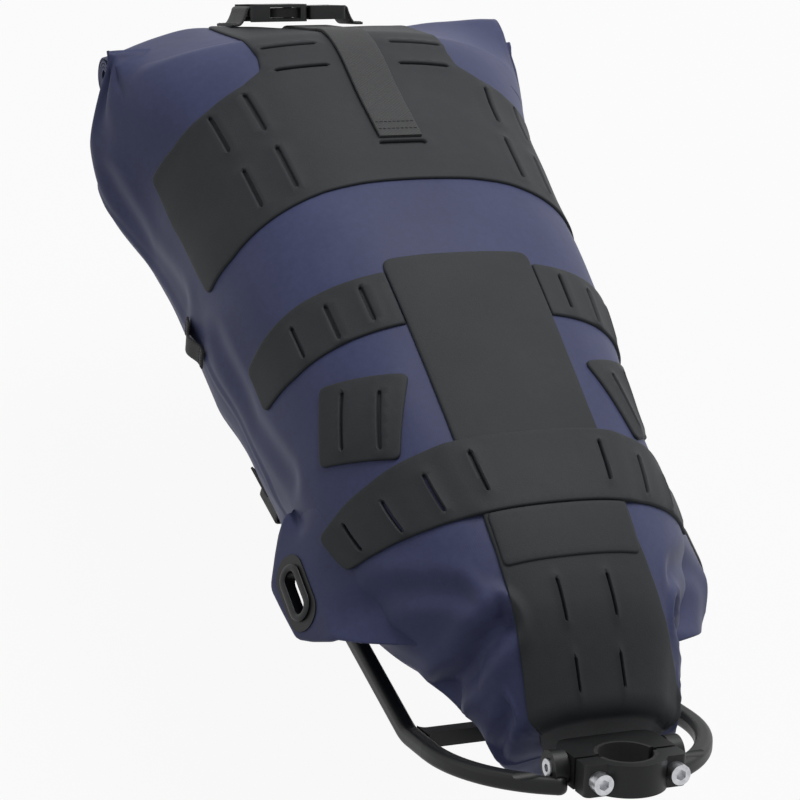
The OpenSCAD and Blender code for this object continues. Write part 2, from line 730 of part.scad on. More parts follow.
// Sprung prong beside the tongue, drawn on the +X side
module prong() {
    arm_w = 2.6;
    head_w = 4.4;
    root_gap = 0.3;
    side_gap = 0.5;
    tip_gap = 1.5;
    head_len = 9;
    bevel = [2.5, 4];
    neck_in = [0.4, 2];
    tip_y = cavity_end + tip_gap;
    root_y = plug_start - root_gap - arm_w / 2;
    head_y = tip_y + head_len;
    neck_y = head_y + neck_in[1];
    inner = prong_x - arm_w;
    root = [for (a = [180:-20:0]) [inner + arm_w / 2 * (1 + cos(a)), root_y + arm_w / 2 * sin(a)]];
    translate([0, 0, side_gap - cavity[1] / 2]) linear_extrude(cavity[1] - 2 * side_gap) polygon(concat(root, [
        [prong_x - neck_in[0], neck_y], [prong_x, head_y],
        [prong_x, tip_y + bevel[1]], [prong_x - bevel[0], tip_y],
        [prong_x - head_w, tip_y], [prong_x - head_w, head_y], [inner - neck_in[0], neck_y]
    ]));
}

module buckle_prong_front() {
    color(PLASTIC) at_buckle() prong();
}

module buckle_prong_rear() {
    color(PLASTIC) at_buckle() mirror([1, 0, 0]) prong();
}

// Webbing from the roll to the buckle's bar, drawn on the +Y side
module buckle_webbing() {
    slack = 0.3;
    bar_y = [plug_end - web_bar - slack, plug_end + slack];
    bar_z = bar_t / 2 + slack;
    loop_y = [bar_y[0] - web_t, bar_y[1] + web_t];
    loop_z = bar_z + web_t;
    floor_z = layer_gap - buckle_lift;
    foot = [5, 11];
    root_y = [plug_end + foot[0], plug_end + foot[1]];
    ramp_z = [0, web_t * 1.4];
    translate([web_w / 2, 0, 0]) rotate([90, 0, -90]) linear_extrude(web_w) mirror([1, 0]) difference() {
        polygon([
            [loop_y[0], -loop_z], [loop_y[1], -loop_z],
            [loop_y[1], ramp_z[0]], [root_y[0] - web_t / 2, floor_z],
            [root_y[1], floor_z], [root_y[1], floor_z + web_t], [root_y[0], floor_z + web_t],
            [loop_y[1], ramp_z[1]], [loop_y[1], loop_z], [loop_y[0], loop_z]
        ]);
        translate([bar_y[0], -bar_z]) square([bar_y[1] - bar_y[0], 2 * bar_z]);
    }
}

module buckle_webbing_left() {
    color(BLACK) at_buckle() buckle_webbing();
}

module buckle_webbing_right() {
    color(BLACK) at_buckle() mirror([0, 1, 0]) buckle_webbing();
}

// Bracket

module bar_section(a, b) {
    round_rect(a, b, bar_round);
}

// The straight stretch is a hair thicker than the bends and laps over them, so no two skins coincide
module left_arm() {
    lap = 0.4;
    proud = 0.06;
    on_post() difference() {
        union() {
            translate([sweep_x, arm_y - sweep_r, -arm_drop]) rotate([0, 0, 90 - sweep_angle])
                rotate_extrude(angle = sweep_angle) translate([sweep_r, 0]) bar_section(bar[0], bar[1]);
            translate([arm_tip_x, sweep_end_y, -arm_drop]) rotate_extrude() intersection() {
                bar_section(bar[0] + proud, bar[1] + proud);
                translate([0, -bar[1]]) square(2 * bar[1]);
            }
            translate([sweep_x + lap, arm_y, -arm_drop]) rotate([0, -90, 0])
                linear_extrude(sweep_x - bend_x + 2 * lap) bar_section(bar[1] + proud, bar[0] + proud);
            translate([bend_x, arm_y, bend_r - arm_drop]) {
                rotate([90, 0, 0]) rotate([0, 0, 270 - arm_bend])
                    rotate_extrude(angle = arm_bend) translate([bend_r, 0]) bar_section(bar[1], bar[0]);
                rotate([0, arm_bend, 0]) translate([0, 0, -bend_r]) rotate([0, -90, 0])
                    linear_extrude(tail_len) bar_section(bar[1], bar[0]);
            }
            translate([-pivot_back, clamp_half + boss_gap, 0]) rotate([-90, 0, 0])
                cylinder(h = boss_len, r = boss_r);
        }
        translate([-pivot_back, clamp_half - 5, 0]) rotate([-90, 0, 0])
            cylinder(h = through, r = pivot_d / 2 + thread_gap);
        translate([-pivot_back, clamp_half + boss_gap + boss_floor, 0]) rotate([-90, 0, 0])
            cylinder(h = through, r = pivot_head[0] + shank_gap);
    }
}

module bracket_arm_left() {
    color(PLASTIC) left_arm();
}

module bracket_arm_right() {
    color(PLASTIC) mirror([0, 1, 0]) left_arm();
}

// Bar between the arms, flared where it meets them
module bracket_crossbar() {
    flare = 4;
    inset = 0.5;
    half = arm_inner_y - seat_gap;
    along = bend_x + crossbar_w / 2;
    color(PLASTIC) on_post() translate([along, 0, inset - arm_drop - bar[1] / 2])
        linear_extrude(bar[1] - 2 * inset) difference() {
            union() {
                square([crossbar_w, 2 * half], center = true);
                for (s = [-1, 1]) {
                    translate([0, s * (half - flare / 2)])
                        square([crossbar_w + 2 * flare, flare], center = true);
                }
            }
            for (s = [-1, 1], e = [-1, 1]) {
                translate([e * (crossbar_w / 2 + flare), s * (half - flare)]) circle(flare);
            }
        }
}

// Fabric sleeves that hold the arms against the belly
module keeper(reach) {
    keeper_len = 26;
    keeper_t = 1.5;
    slack = 0.4;
    flange = 11;
    top = [arm_y - bar[0] / 2 - slack, arm_y + bar[0] / 2 + slack];
    ends = [reach - keeper_len / 2, reach + keeper_len / 2];
    function arm_z(r) = rest_front_z - tan(arm_slope) * (r - rest_front);
    low = -bar[1] / 2 - slack;
    belly_clear = layer_gap + 0.2;
    function under(y) = min([for (r = ends) belly(r, y) - arm_z(r)]) - belly_clear;
    left_y = [for (k = [2:-1:1]) top[0] - flange * k / 2];
    right_y = [for (k = [1:2]) top[1] + flange * k / 2];
    inner = concat(
        [for (y = left_y) [y, under(y)]], [[top[0], under(top[0])], [top[0], low]],
        [[top[1], low], [top[1], under(top[1])]], [for (y = right_y) [y, under(y)]]
    );
    outer = concat(
        [for (k = [1:-1:0]) [right_y[k], under(right_y[k]) - keeper_t]],
        [[top[1] + keeper_t, under(top[1]) - keeper_t], [top[1] + keeper_t, low - keeper_t]],
        [[top[0] - keeper_t, low - keeper_t], [top[0] - keeper_t, under(top[0]) - keeper_t]],
        [for (k = [1:-1:0]) [left_y[k], under(left_y[k]) - keeper_t]]
    );
    translate([-reach, 0, arm_z(reach)]) rotate([0, -arm_slope, 0]) rotate([90, 0, 90])
        translate([0, 0, -keeper_len / 2]) linear_extrude(keeper_len) polygon(concat(inner, outer));
}

module arm_keepers() {
    keeper_reach = [185, 265];
    color(BLACK) for (s = [0, 1], reach = keeper_reach) {
        mirror([0, s, 0]) keeper(reach);
    }
}

// Clamp

module bolt_hole(r, from, to, y) {
    translate([from, y, 0]) rotate([0, 90, 0]) cylinder(h = to - from, r = r);
}

module clamp_block() {
    front = -clamp_split / 2;
    relief = [5, 24, 8];
    color(PLASTIC) on_post() difference() {
        translate([0, 0, -clamp_h / 2]) linear_extrude(clamp_h) difference() {
            union() {
                translate([block_corner - block_depth, -clamp_half])
                    square([block_depth - block_corner + front, 2 * clamp_half]);
                translate([-block_depth, block_corner - clamp_half])
                    square([block_depth + front, 2 * (clamp_half - block_corner)]);
                for (s = [-1, 1]) {
                    translate([block_corner - block_depth, s * (clamp_half - block_corner)])
                        circle(block_corner);
                }
            }
            circle(bore_r);
        }
        for (s = [-1, 1]) {
            bolt_hole(bolt_d / 2 + thread_gap, -bolt_depth - 1, 5, s * bolt_y);
            translate([-pivot_back, s * (clamp_half - pivot_depth), 0]) rotate([-90 * s, 0, 0])
                cylinder(h = pivot_depth + 5, r = pivot_d / 2 + thread_gap);
        }
        translate([-block_depth, 0, 0]) cube([2 * relief[0], relief[1], relief[2]], center = true);
    }
}

module clamp_cap() {
    back = clamp_split / 2;
    color(PLASTIC) on_post() difference() {
        translate([0, 0, -clamp_h / 2]) linear_extrude(clamp_h) difference() {
            union() {
                translate([back, -clamp_half]) square([cap_land - cap_corner - back, 2 * clamp_half]);
                translate([back, cap_corner - clamp_half])
                    square([cap_land - back, 2 * (clamp_half - cap_corner)]);
                for (s = [-1, 1]) {
                    translate([cap_land - cap_corner, s * (clamp_half - cap_corner)]) circle(cap_corner);
                }
                intersection() {
                    circle(bore_r + cap_wall);
                    translate([back, -clamp_half]) square([2 * clamp_half, 2 * clamp_half]);
                }
            }
            circle(bore_r);
        }
        for (s = [-1, 1]) {
            bolt_hole(bolt_d / 2 + shank_gap, 0, through, s * bolt_y);
            bolt_hole(bolt_head[0] + shank_gap, cap_land, through, s * bolt_y);
        }
    }
}

// Half of the rubber liner, on the +X side
module liner_half() {
    gap_angle = 9;
    rotate([0, 0, gap_angle - 90]) rotate_extrude(angle = 180 - 2 * gap_angle)
        translate([post_d / 2, -clamp_h / 2]) square([liner_t - liner_gap, clamp_h]);
}

module clamp_liner_front() {
    color(RUBBER) on_post() liner_half();
}

module clamp_liner_rear() {
    color(RUBBER) on_post() rotate([0, 0, 180]) liner_half();
}

// Socket-head screw along +Z, with the underside of its head at the origin
module screw(d, head, shank, socket) {
    difference() {
        cylinder(h = head[1], r = head[0]);
        translate([0, 0, head[1] / 2]) cylinder(h = head[1], r = socket, $fn = 6);
    }
    translate([0, 0, -shank]) cylinder(h = shank, r = d / 2);
}

module clamp_bolt(s) {
    color(STEEL) on_post() translate([cap_land, s * bolt_y, 0]) rotate([0, 90, 0])
        screw(bolt_d, bolt_head, cap_land + bolt_depth, bolt_d * 0.46);
}

module pivot_bolt(s) {
    under = clamp_half + boss_gap + boss_floor;
    color(STEEL) on_post() translate([-pivot_back, s * (under + 0.1), 0]) rotate([-90 * s, 0, 0])
        screw(pivot_d, pivot_head, boss_gap + boss_floor + pivot_depth - 1, pivot_d * 0.44);
}

bag_shell();
roll_closure();
closure_strip();
base_board();
base_panel();
rear_panel();
spine_panel();
mid_wing(1);  // mid_wing_left
mid_wing(-1);  // mid_wing_right
lower_band();
spine_patch();
lash_patch(1);  // lash_patch_left
lash_patch(-1);  // lash_patch_right
side_loop(1);  // side_loop_left
side_loop(-1);  // side_loop_right
ear_left();
ear_right();
eyelet_left();
eyelet_right();
eyelet_ring_left();
eyelet_ring_right();
compression_strap();
strap_anchor();
buckle_webbing_left();
buckle_webbing_right();
buckle_socket();
buckle_plug();
buckle_prong_front();
buckle_prong_rear();
bracket_arm_left();
bracket_arm_right();
bracket_crossbar();
arm_keepers();
clamp_block();
clamp_cap();
clamp_liner_rear();
clamp_liner_front();
clamp_bolt(1);  // clamp_bolt_left
clamp_bolt(-1);  // clamp_bolt_right
pivot_bolt(1);  // pivot_bolt_left
pivot_bolt(-1);  // pivot_bolt_right
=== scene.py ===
import math

import bmesh
import bpy
import numpy as np
from mathutils import Matrix, Vector
from mathutils.geometry import delaunay_2d_cdt


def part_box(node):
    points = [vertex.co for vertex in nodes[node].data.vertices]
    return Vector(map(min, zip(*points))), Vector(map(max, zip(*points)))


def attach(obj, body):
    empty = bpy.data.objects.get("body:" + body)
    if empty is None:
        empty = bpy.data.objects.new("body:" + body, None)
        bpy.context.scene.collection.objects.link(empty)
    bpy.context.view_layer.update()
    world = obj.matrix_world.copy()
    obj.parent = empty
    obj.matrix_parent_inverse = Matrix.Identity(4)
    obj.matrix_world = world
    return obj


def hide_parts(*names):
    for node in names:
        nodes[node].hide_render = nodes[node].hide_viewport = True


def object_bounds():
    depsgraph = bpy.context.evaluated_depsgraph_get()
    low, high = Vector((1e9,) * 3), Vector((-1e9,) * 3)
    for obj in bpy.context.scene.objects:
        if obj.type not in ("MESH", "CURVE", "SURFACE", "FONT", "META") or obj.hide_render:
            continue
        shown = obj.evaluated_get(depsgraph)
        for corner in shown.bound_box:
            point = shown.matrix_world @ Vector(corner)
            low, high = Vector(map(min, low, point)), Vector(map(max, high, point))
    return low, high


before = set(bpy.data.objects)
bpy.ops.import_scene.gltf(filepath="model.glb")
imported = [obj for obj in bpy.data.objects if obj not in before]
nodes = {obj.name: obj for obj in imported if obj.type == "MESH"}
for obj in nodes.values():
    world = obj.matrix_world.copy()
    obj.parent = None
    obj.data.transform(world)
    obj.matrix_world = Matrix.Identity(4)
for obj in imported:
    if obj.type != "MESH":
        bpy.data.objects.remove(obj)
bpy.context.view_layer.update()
scene = bpy.context.scene

# Sizes are written in millimetres, as in the CAD source, and scaled when a mesh is made
MM = 0.001
NOSE = 32.0
TAIL = 485.6
MOUTH = 508.0
NOSE_ROUND = 6.0
# Reach, width, height, crown and squareness of the bag's sections
STATIONS = np.array([
    [NOSE, 86, 58, 4, 2.6],
    [81.0, 120, 82, 31, 2.6],
    [154.8, 182, 131, 43, 2.5],
    [300.0, 210, 169, 51, 2.6],
    [420.9, 226, 167, 45, 2.7],
    [TAIL, 259, 138, 38, 2.45],
    [MOUTH, 250, 12, 6, 2.3],
])
WIDTH, HEIGHT, CROWN, SQUARE = 1, 2, 3, 4
ARC = 1.75  # millimetres of skin for a degree round the bag, about the mean

PANEL_T = 1.3
ROLL_R = 11.5
ROLL_FLAT = 6.0
ROLL_REACH = MOUTH + 0.4 + ROLL_FLAT / 2 + ROLL_R
ROLL_Z = 6.0 - ROLL_R
ROLL_HALF = 123.0
WEB_W = 25.0
WEB_T = 1.7
SIDES = ((1, "left"), (-1, "right"))
TINY = 1e-9


def srgb(r, g, b):
    def lin(c):
        c /= 255
        return c / 12.92 if c <= 0.04045 else ((c + 0.055) / 1.055) ** 2.4
    return (lin(r), lin(g), lin(b), 1.0)


def ramp(t, a, b):
    """Smooth step from 0 at a to 1 at b."""
    c = np.clip((np.asarray(t, float) - a) / (b - a), 0, 1)
    return c * c * (3 - 2 * c)


def bump(t, middle, half):
    """Smooth hill of height 1 that falls to 0 at middle - half and middle + half."""
    c = np.clip(1 - np.abs(np.asarray(t, float) - middle) / half, 0, 1)
    return c * c * (3 - 2 * c)


def pair(a, b):
    """Two values as arrays of one shape."""
    return np.broadcast_arrays(np.asarray(a, float), np.asarray(b, float))


def unit(v):
    """Vectors scaled to length 1."""
    return v / np.maximum(np.linalg.norm(v, axis=-1, keepdims=True), TINY)


# Form of the bag

# Where a flank is fuller than its sections, or slimmer: gain, middle and half of the angle, middle and half
# of the reach, and whether the other flank has it too
FLANKS = [
    (0.05, 118, 50, 470, 60, True),
    (0.2, 104, 52, 40, 46, False),
    (0.1, 112, 46, 104, 50, True),
    (-0.1, 78, 56, 202, 76, False),
]


def section(reach, column):
    """Value of one column of the sections at a reach, on a smooth curve through them."""
    at = STATIONS[:, 0]
    v = STATIONS[:, column]
    n = len(at)
    r = np.clip(reach, NOSE, MOUTH)
    i = np.clip(np.searchsorted(at, r, side="right") - 1, 0, n - 2)
    before = np.maximum(np.arange(n) - 1, 0)
    after = np.minimum(np.arange(n) + 1, n - 1)
    slope = (v[after] - v[before]) / (at[after] - at[before])
    h = at[i + 1] - at[i]
    t = (r - at[i]) / h
    return (
        (2 * t**3 - 3 * t**2 + 1) * v[i] + (t**3 - 2 * t**2 + t) * h * slope[i]
        + (3 * t**2 - 2 * t**3) * v[i + 1] + (t**3 - t**2) * h * slope[i + 1]
    )


def form(reach, angle):
    """Points of the plain form, at a reach and an angle in degrees from the crown, positive to +Y."""
    reach, angle = pair(reach, angle)
    a = np.radians(angle)
    n = section(reach, SQUARE)
    rho = (np.abs(np.sin(a)) ** n + np.abs(np.cos(a)) ** n) ** (1 / n)
    d = np.clip(NOSE_ROUND - (reach - NOSE), 0, NOSE_ROUND)
    inset = NOSE_ROUND - np.sqrt(NOSE_ROUND**2 - d**2)
    w = section(reach, WIDTH) / 2 - inset
    h = section(reach, HEIGHT) / 2 - inset
    fullness = 1
    for gain, mid_angle, half_angle, mid_reach, half_reach, mirror in FLANKS:
        around = np.abs(angle) if mirror else angle
        fullness = fullness + gain * bump(around, mid_angle, half_angle) * bump(reach, mid_reach, half_reach)
    return np.stack([
        -reach, w * fullness * np.sin(a) / rho,
        section(reach, CROWN) - section(reach, HEIGHT) / 2 + h * np.cos(a) / rho,
    ], -1)


def normal(reach, angle):
    dr, da = 0.8, 0.5
    along = form(np.maximum(reach - dr, NOSE), angle) - form(reach + dr, angle)
    across = form(reach, angle + da) - form(reach, angle - da)
    return unit(np.cross(along, across))


def flat(points):
    """(reach, angle) to flat millimetres."""
    p = np.asarray(points, float)
    return np.stack([p[:, 0], p[:, 1] * ARC], -1)


def line_distance(p, line):
    """Distance of each point from a line of points."""
    best = np.full(p.shape[:-1], 1e9)
    for a, b in zip(line[:-1], line[1:]):
        d = b - a
        t = np.clip(((p - a) @ d) / max(d @ d, TINY), 0, 1)
        best = np.minimum(best, np.linalg.norm(p - a - t[..., None] * d, axis=-1))
    return best


# Height, place and sharpness of the lips beside a fold, as shares of its depth and width
FOLD_LIP, FOLD_LIP_AT, FOLD_LIP_SHARP = 0.45, 1.7, 1.4


def fold(reach, angle, points, width, depth):
    """Valley along a line of (reach, angle) points, with a soft lip on both sides."""
    k = line_distance(np.stack([reach, angle * ARC], -1), flat(points)) / width
    lip = FOLD_LIP * np.exp(-((k - FOLD_LIP_AT) ** 2) * FOLD_LIP_SHARP)
    return depth * (lip - np.exp(-k * k))


# Folds at the nose and along the flanks: (reach, angle) points, width and depth
FOLDS = [
    ([(78, -40), (73, -55), (70, -80), (76, -118)], 6.5, 6.5),
    ([(44, -62), (40, -78), (38, -108)], 4.5, 3.4),
    ([(80, 60), (75, 72), (72, 94), (80, 122)], 6.0, 5.6),
    ([(46, 76), (41, 90), (40, 112)], 4.5, 3.2),
    ([(212, -84), (262, -92), (318, -88)], 9, 1.7),
    ([(232, 86), (290, 94), (336, 86)], 9, 1.6),
    ([(372, -100), (420, -108), (462, -98)], 10, 2.0),
    ([(366, 102), (424, 106), (466, 96)], 10, 2.0),
    ([(182, -98), (232, -118), (300, -124)], 8, 1.2),
    ([(190, 100), (240, 120), (304, 122)], 8, 1.2),
    ([(98, -52), (118, -74), (126, -100)], 8, 2.2),
    ([(100, 54), (120, 76), (128, 102)], 8, 2.0),
]

# Welded seam that runs along each flank
SEAM = [(120, 112), (209, 108), (275, 105), (345, 104), (424, 116), (474, 112)]
SEAM_HALF, SEAM_RISE = 2.8, 0.8
# Angle at which an ear leaves its flank, and how far each flank is drawn out towards it
EAR_ROOT = 76.0
FLARE_RIGHT, FLARE_LEFT = 9.0, 5.0


def flare(reach, angle):
    """How far the flank is drawn out towards the ear of its side."""
    a = np.abs(angle)
    along = ramp(reach, 66, 132) * (1 - ramp(reach, 160, 222))
    draw = np.where(angle < 0, FLARE_RIGHT, FLARE_LEFT)
    return draw * along * ramp(a, EAR_ROOT - 24, EAR_ROOT + 8) * (1 - ramp(a, EAR_ROOT + 8, EAR_ROOT + 38))


def relief(reach, angle):
    """How far the fabric stands off the plain form."""
    reach, angle = pair(reach, angle)
    a = np.radians(angle)
    off_crown = np.abs(angle)
    side = ramp(off_crown, 25, 70)
    out = 0.7 * np.sin(reach / 31 + a * 2.1) * np.sin(a * 3.3 - reach / 57)
    out = out * (0.25 + 0.75 * side)
    out = out + 0.5 * side * np.sin(reach / 13.5 + a * 5) * np.sin(reach / 23 - a * 4)
    for points, width, depth in FOLDS:
        out = out + fold(reach, angle, points, width, depth)
    for sign, _ in SIDES:
        seam = [(r, sign * turn) for r, turn in SEAM]
        out = out - fold(reach, angle, seam, SEAM_HALF, SEAM_RISE)
    out = out + flare(reach, angle)
    # Gathers at the ends of the roll
    tuck = ramp(reach, 462, 500) * bump(off_crown, 92, 48)
    out = out + 2.2 * tuck * np.sin(a * 14 + 0.7) * (1 - 0.5 * ramp(reach, 500, 508))
    # Panels are stiffer than the fabric, so it swells a little between them
    beside_spine = ramp(off_crown, 24, 34)
    swell = bump(reach, 320, 40) + bump(reach, 212, 45) * beside_spine + bump(reach, 106, 28) * side
    return out + 0.9 * swell


def lay(reach, angle, lift=0.0):
    """Points of the fabric, or at a lift off it."""
    reach, angle = pair(reach, angle)
    off = relief(reach, angle) + lift
    return form(reach, angle) + normal(reach, angle) * np.asarray(off)[..., None]


def arch(reach, y):
    """Place across a section and height over its middle, as shares of its half sizes."""
    n = section(reach, SQUARE)
    p = np.clip(np.abs(y) / (section(reach, WIDTH) / 2), 0, 1)
    return p, (1 - p**n) ** (1 / n)


def crown_angle(reach, y):
    """Angle of the point of the crown at a distance from the middle plane."""
    return np.sign(y) * np.degrees(np.arctan2(*arch(reach, y)))


# Meshes

def new_object(name, verts, faces, uvs, material, body, smooth_angle=40):
    """Mesh in metres from millimetre points; uvs is one pair for each face corner, in metres."""
    mesh = bpy.data.meshes.new(name)
    mesh.from_pydata((np.asarray(verts) * MM).tolist(), [], faces)
    layer = mesh.uv_layers.new(name="UVMap")
    layer.data.foreach_set("uv", np.asarray(uvs, float).reshape(-1))
    mesh.validate()
    mesh.shade_smooth()
    mesh.set_sharp_from_angle(angle=math.radians(smooth_angle))
    obj = bpy.data.objects.new(name, mesh)
    scene.collection.objects.link(obj)
    mesh.materials.append(material)
    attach(obj, body)
    return obj


def ring_faces(m, n):
    """Quads of a tube of m rings with n points each."""
    return [
        (i * n + j, (i + 1) * n + j, (i + 1) * n + (j + 1) % n, i * n + (j + 1) % n)
        for i in range(m - 1) for j in range(n)
    ]


def ring_corners(m, n):
    """Ring and place of each corner of those quads, with one more place than points."""
    return [
        corner for i in range(m - 1) for j in range(n)
        for corner in ((i, j), (i + 1, j), (i + 1, j + 1), (i, j + 1))
    ]


def tube_faces(m, n):
    """Faces of such a tube with both ends closed."""
    return ring_faces(m, n) + [tuple(range(n)), tuple((m - 1) * n + j for j in reversed(range(n)))]


def lengths(path):
    """Distance of each point of a path from its start."""
    seg = np.linalg.norm(np.diff(path, axis=0), axis=1)
    return np.concatenate([[0], np.cumsum(seg)])


def resample(points, step):
    """Points at even distances along a path."""
    p = np.asarray(points, float)
    s = lengths(p)
    n = max(2, int(round(s[-1] / step)) + 1)
    t = np.linspace(0, s[-1], n)
    return np.stack([np.interp(t, s, p[:, k]) for k in range(p.shape[1])], -1)


def relax(path, rounds):
    """Rounds the corners of a path and keeps its ends."""
    p = np.array(path, float)
    for _ in range(rounds):
        p[1:-1] = p[1:-1] * 0.5 + (p[:-2] + p[2:]) * 0.25
    return p


def rounded(points, radius, seg=6):
    """Closed outline of 2-D points with rounded corners; radius is one number or one for each point."""
    p = np.asarray(points, float)
    n = len(p)
    radii = np.broadcast_to(np.asarray(radius, float), (n,))
    out = []
    for i in range(n):
        a, b, c = p[i - 1], p[i], p[(i + 1) % n]
        u, v = a - b, c - b
        lu, lv = np.linalg.norm(u), np.linalg.norm(v)
        u, v = u / lu, v / lv
        half = math.acos(float(np.clip(u @ v, -1, 1))) / 2
        if radii[i] <= 0 or half > math.radians(86):
            out.append(b)
            continue
        cut = min(radii[i] / math.tan(half), lu * 0.45, lv * 0.45)
        start, end = b + u * cut, b + v * cut
        for k in range(seg + 1):
            t = k / seg
            out.append((1 - t) ** 2 * start + 2 * t * (1 - t) * b + t * t * end)
    return np.array(out)


def slot_outline(a, b, width, seg=6):
    """Outline of a slit from a to b with round ends."""
    a, b = np.asarray(a, float), np.asarray(b, float)
    u = (b - a) / np.linalg.norm(b - a)
    v = np.array([-u[1], u[0]])
    r = width / 2
    pts = []
    for centre, start in ((b, -90), (a, 90)):
        for k in range(seg + 1):
            t = math.radians(start + 180 * k / seg)
            pts.append(centre + r * (math.cos(t) * u + math.sin(t) * v))
    return np.array(pts)


def inside(points, outline):
    """Which points are inside a closed outline."""
    x, y = points[:, 0], points[:, 1]
    hit = np.zeros(len(points), bool)
    for (x0, y0), (x1, y1) in zip(outline, np.roll(outline, -1, 0)):
        if y0 == y1:
            continue
        hit ^= ((y0 > y) != (y1 > y)) & (x < (x1 - x0) * (y - y0) / (y1 - y0) + x0)
    return hit


def within(points, loops):
    """Which points are inside the first loop and outside the others."""
    ok = inside(points, loops[0])
    for hole in loops[1:]:
        ok &= ~inside(points, hole)
    return ok


def closed(outline):
    return np.vstack([outline, outline[:1]])


def closed_resample(outline, step):
    return resample(closed(outline), step)[:-1]


def edge_distance(points, loops):
    """Distance of each point from the nearest loop."""
    return np.min([line_distance(points, closed(loop)) for loop in loops], axis=0)


# Spacing of points on a sheet's outline and slits, rows of points beside them, and room left to its grid
OUTLINE_STEP, SLIT_STEP = 2.2, 1.3
RIM_INSETS = (0.45, 1.1)
GRID_CLEAR = 1.9
# Width of a sheet's rounded edge and the share of its thickness that stays there
EDGE_W, EDGE_SHARE = 1.1, 0.35
# Width of the raised lips beside a slit, and how far the dark layer that paints the shade inside a slit lies
# over the sheet's underside
LIP_W = 3.4
SLIT_SHADE_RISE = 0.2


def sheet_piece(
    name, outline, holes, place, t, material, replaced, step=3.2, lift=0.35, lips=0.0, paint_slit_shade=False,
):
    """Sheet with a rounded edge and slits. place(points, offset) puts flat points in space, in millimetres.

    A sheet with shaded slits has a thin dark layer of its own below the slits. It paints the shade that falls
    inside them, where the fabric below lies in shadow.
    """
    loops = [closed_resample(outline, OUTLINE_STEP)] + [closed_resample(h, SLIT_STEP) for h in holes]
    lo, hi = loops[0].min(0), loops[0].max(0)
    gx, gy = np.meshgrid(np.arange(lo[0], hi[0], step), np.arange(lo[1], hi[1], step), indexing="ij")
    gx = gx + (np.arange(gx.shape[1]) % 2)[None] * step / 2
    grid = np.stack([gx.ravel(), gy.ravel()], -1)
    grid = grid[within(grid, loops)]
    grid = grid[edge_distance(grid, loops) > GRID_CLEAR]
    rim = []
    for loop in loops:
        ahead = np.roll(loop, -1, 0) - np.roll(loop, 1, 0)
        side = unit(np.stack([-ahead[:, 1], ahead[:, 0]], -1))
        for inset in RIM_INSETS:
            for s in (1, -1):
                row = loop + side * inset * s
                row = row[within(row, loops)]
                if len(row):
                    row = row[edge_distance(row, loops) > inset * 0.9]
                rim.append(row)
    pts = np.vstack(loops + rim + [grid])
    edges = []
    base = 0
    for loop in loops:
        n = len(loop)
        edges += [(base + i, base + (i + 1) % n) for i in range(n)]
        base += n
    res = delaunay_2d_cdt([Vector(p) for p in pts], edges, [], 0, 1e-5)
    plan = np.array([tuple(v) for v in res[0]])
    tris = np.array([f for f in res[2] if len(f) == 3])
    n = len(plan)
    mid = plan[tris].mean(1)
    solid = inside(mid, loops[0])
    kept = within(mid, loops)
    d = np.clip(edge_distance(plan, loops) / EDGE_W, 0, 1)
    rise = t * (EDGE_SHARE + (1 - EDGE_SHARE) * np.sqrt(d * (2 - d)))
    if holes and lips:
        near = edge_distance(plan, loops[1:])
        rise = rise + lips * np.exp(-((near / LIP_W) ** 2)) * (EDGE_SHARE + (1 - EDGE_SHARE) * d)
    seat = lift * 0.4
    top = place(plan, lift + rise)
    low = place(plan, np.full(n, seat))
    # Dark layer below the slits: painted shade in place of the shadowed fabric under them
    slit_shade_layer = place(plan, np.full(n, seat + SLIT_SHADE_RISE))
    # The winding follows the outward side of the top surface
    a, b, c = (top[tris[:, k]] for k in range(3))
    up = place(plan[tris[:, 0]], np.full(len(tris), lift + t + 1.0)) - low[tris[:, 0]]
    flip = np.einsum("ij,ij->i", np.cross(b - a, c - a), up) < 0
    tris[flip] = tris[flip][:, ::-1]
    faces = [tuple(f) for f in tris[kept]]
    faces += [tuple(int(v) + n for v in f[::-1]) for f in tris[solid if paint_slit_shade else kept]]
    # Faces of that dark layer, which paints the shade inside the slits
    if paint_slit_shade:
        faces += [tuple(int(v) + 2 * n for v in f) for f in tris[solid & ~kept]]
    border = dict.fromkeys((int(f[i]), int(f[(i + 1) % 3])) for f in tris[kept] for i in range(3))
    border = [(p, q) for p, q in border if (q, p) not in border]
    on_outline = edge_distance(np.array([(plan[p] + plan[q]) / 2 for p, q in border]), loops[:1]) < 1e-3
    for (p, q), outer in zip(border, on_outline):
        down = n if outer or not paint_slit_shade else 2 * n
        faces.append((q, p, p + down, q + down))
    used = sorted({v for f in faces for v in f})
    order = {v: i for i, v in enumerate(used)}
    verts = np.vstack([top, low, slit_shade_layer])[used]
    plane = np.vstack([plan, plan, plan])[used] * MM
    faces = [tuple(order[v] for v in f) for f in faces]
    uvs = [plane[v] for f in faces for v in f]
    obj = new_object(name, verts, faces, uvs, material, "bag", 50)
    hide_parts(*replaced)


def on_skin(points, offset):
    """Places flat points on the bag, over the hood behind it and down the front face of the nose."""
    r, a = points[:, 0], points[:, 1] / ARC
    offset = np.asarray(offset, float)
    spot = lay(np.clip(r, NOSE, HOOD_FROM), a, offset)
    ahead = np.maximum(NOSE - r, 0)
    spot[:, 2] -= ahead
    behind = r > HOOD_FROM
    if behind.any():
        y = form(np.full(behind.sum(), HOOD_FROM), a[behind])[:, 1]
        run = r[behind] - HOOD_FROM
        thin = offset[behind] * (1 - 0.3 * ramp(run, 0, 20)) + 0.3
        spot[behind] = over_hood(y, run, thin)
    return spot


def mirrored(half):
    """Outline from its half on the +Y side, listed from the front middle to the rear middle."""
    h = np.asarray(half, float)
    back = h[::-1].copy()
    back[:, 1] *= -1
    keep = np.abs(back[:, 1]) > 1e-6
    return np.vstack([h, back[keep]])


RIBBON_CORNER = 0.5


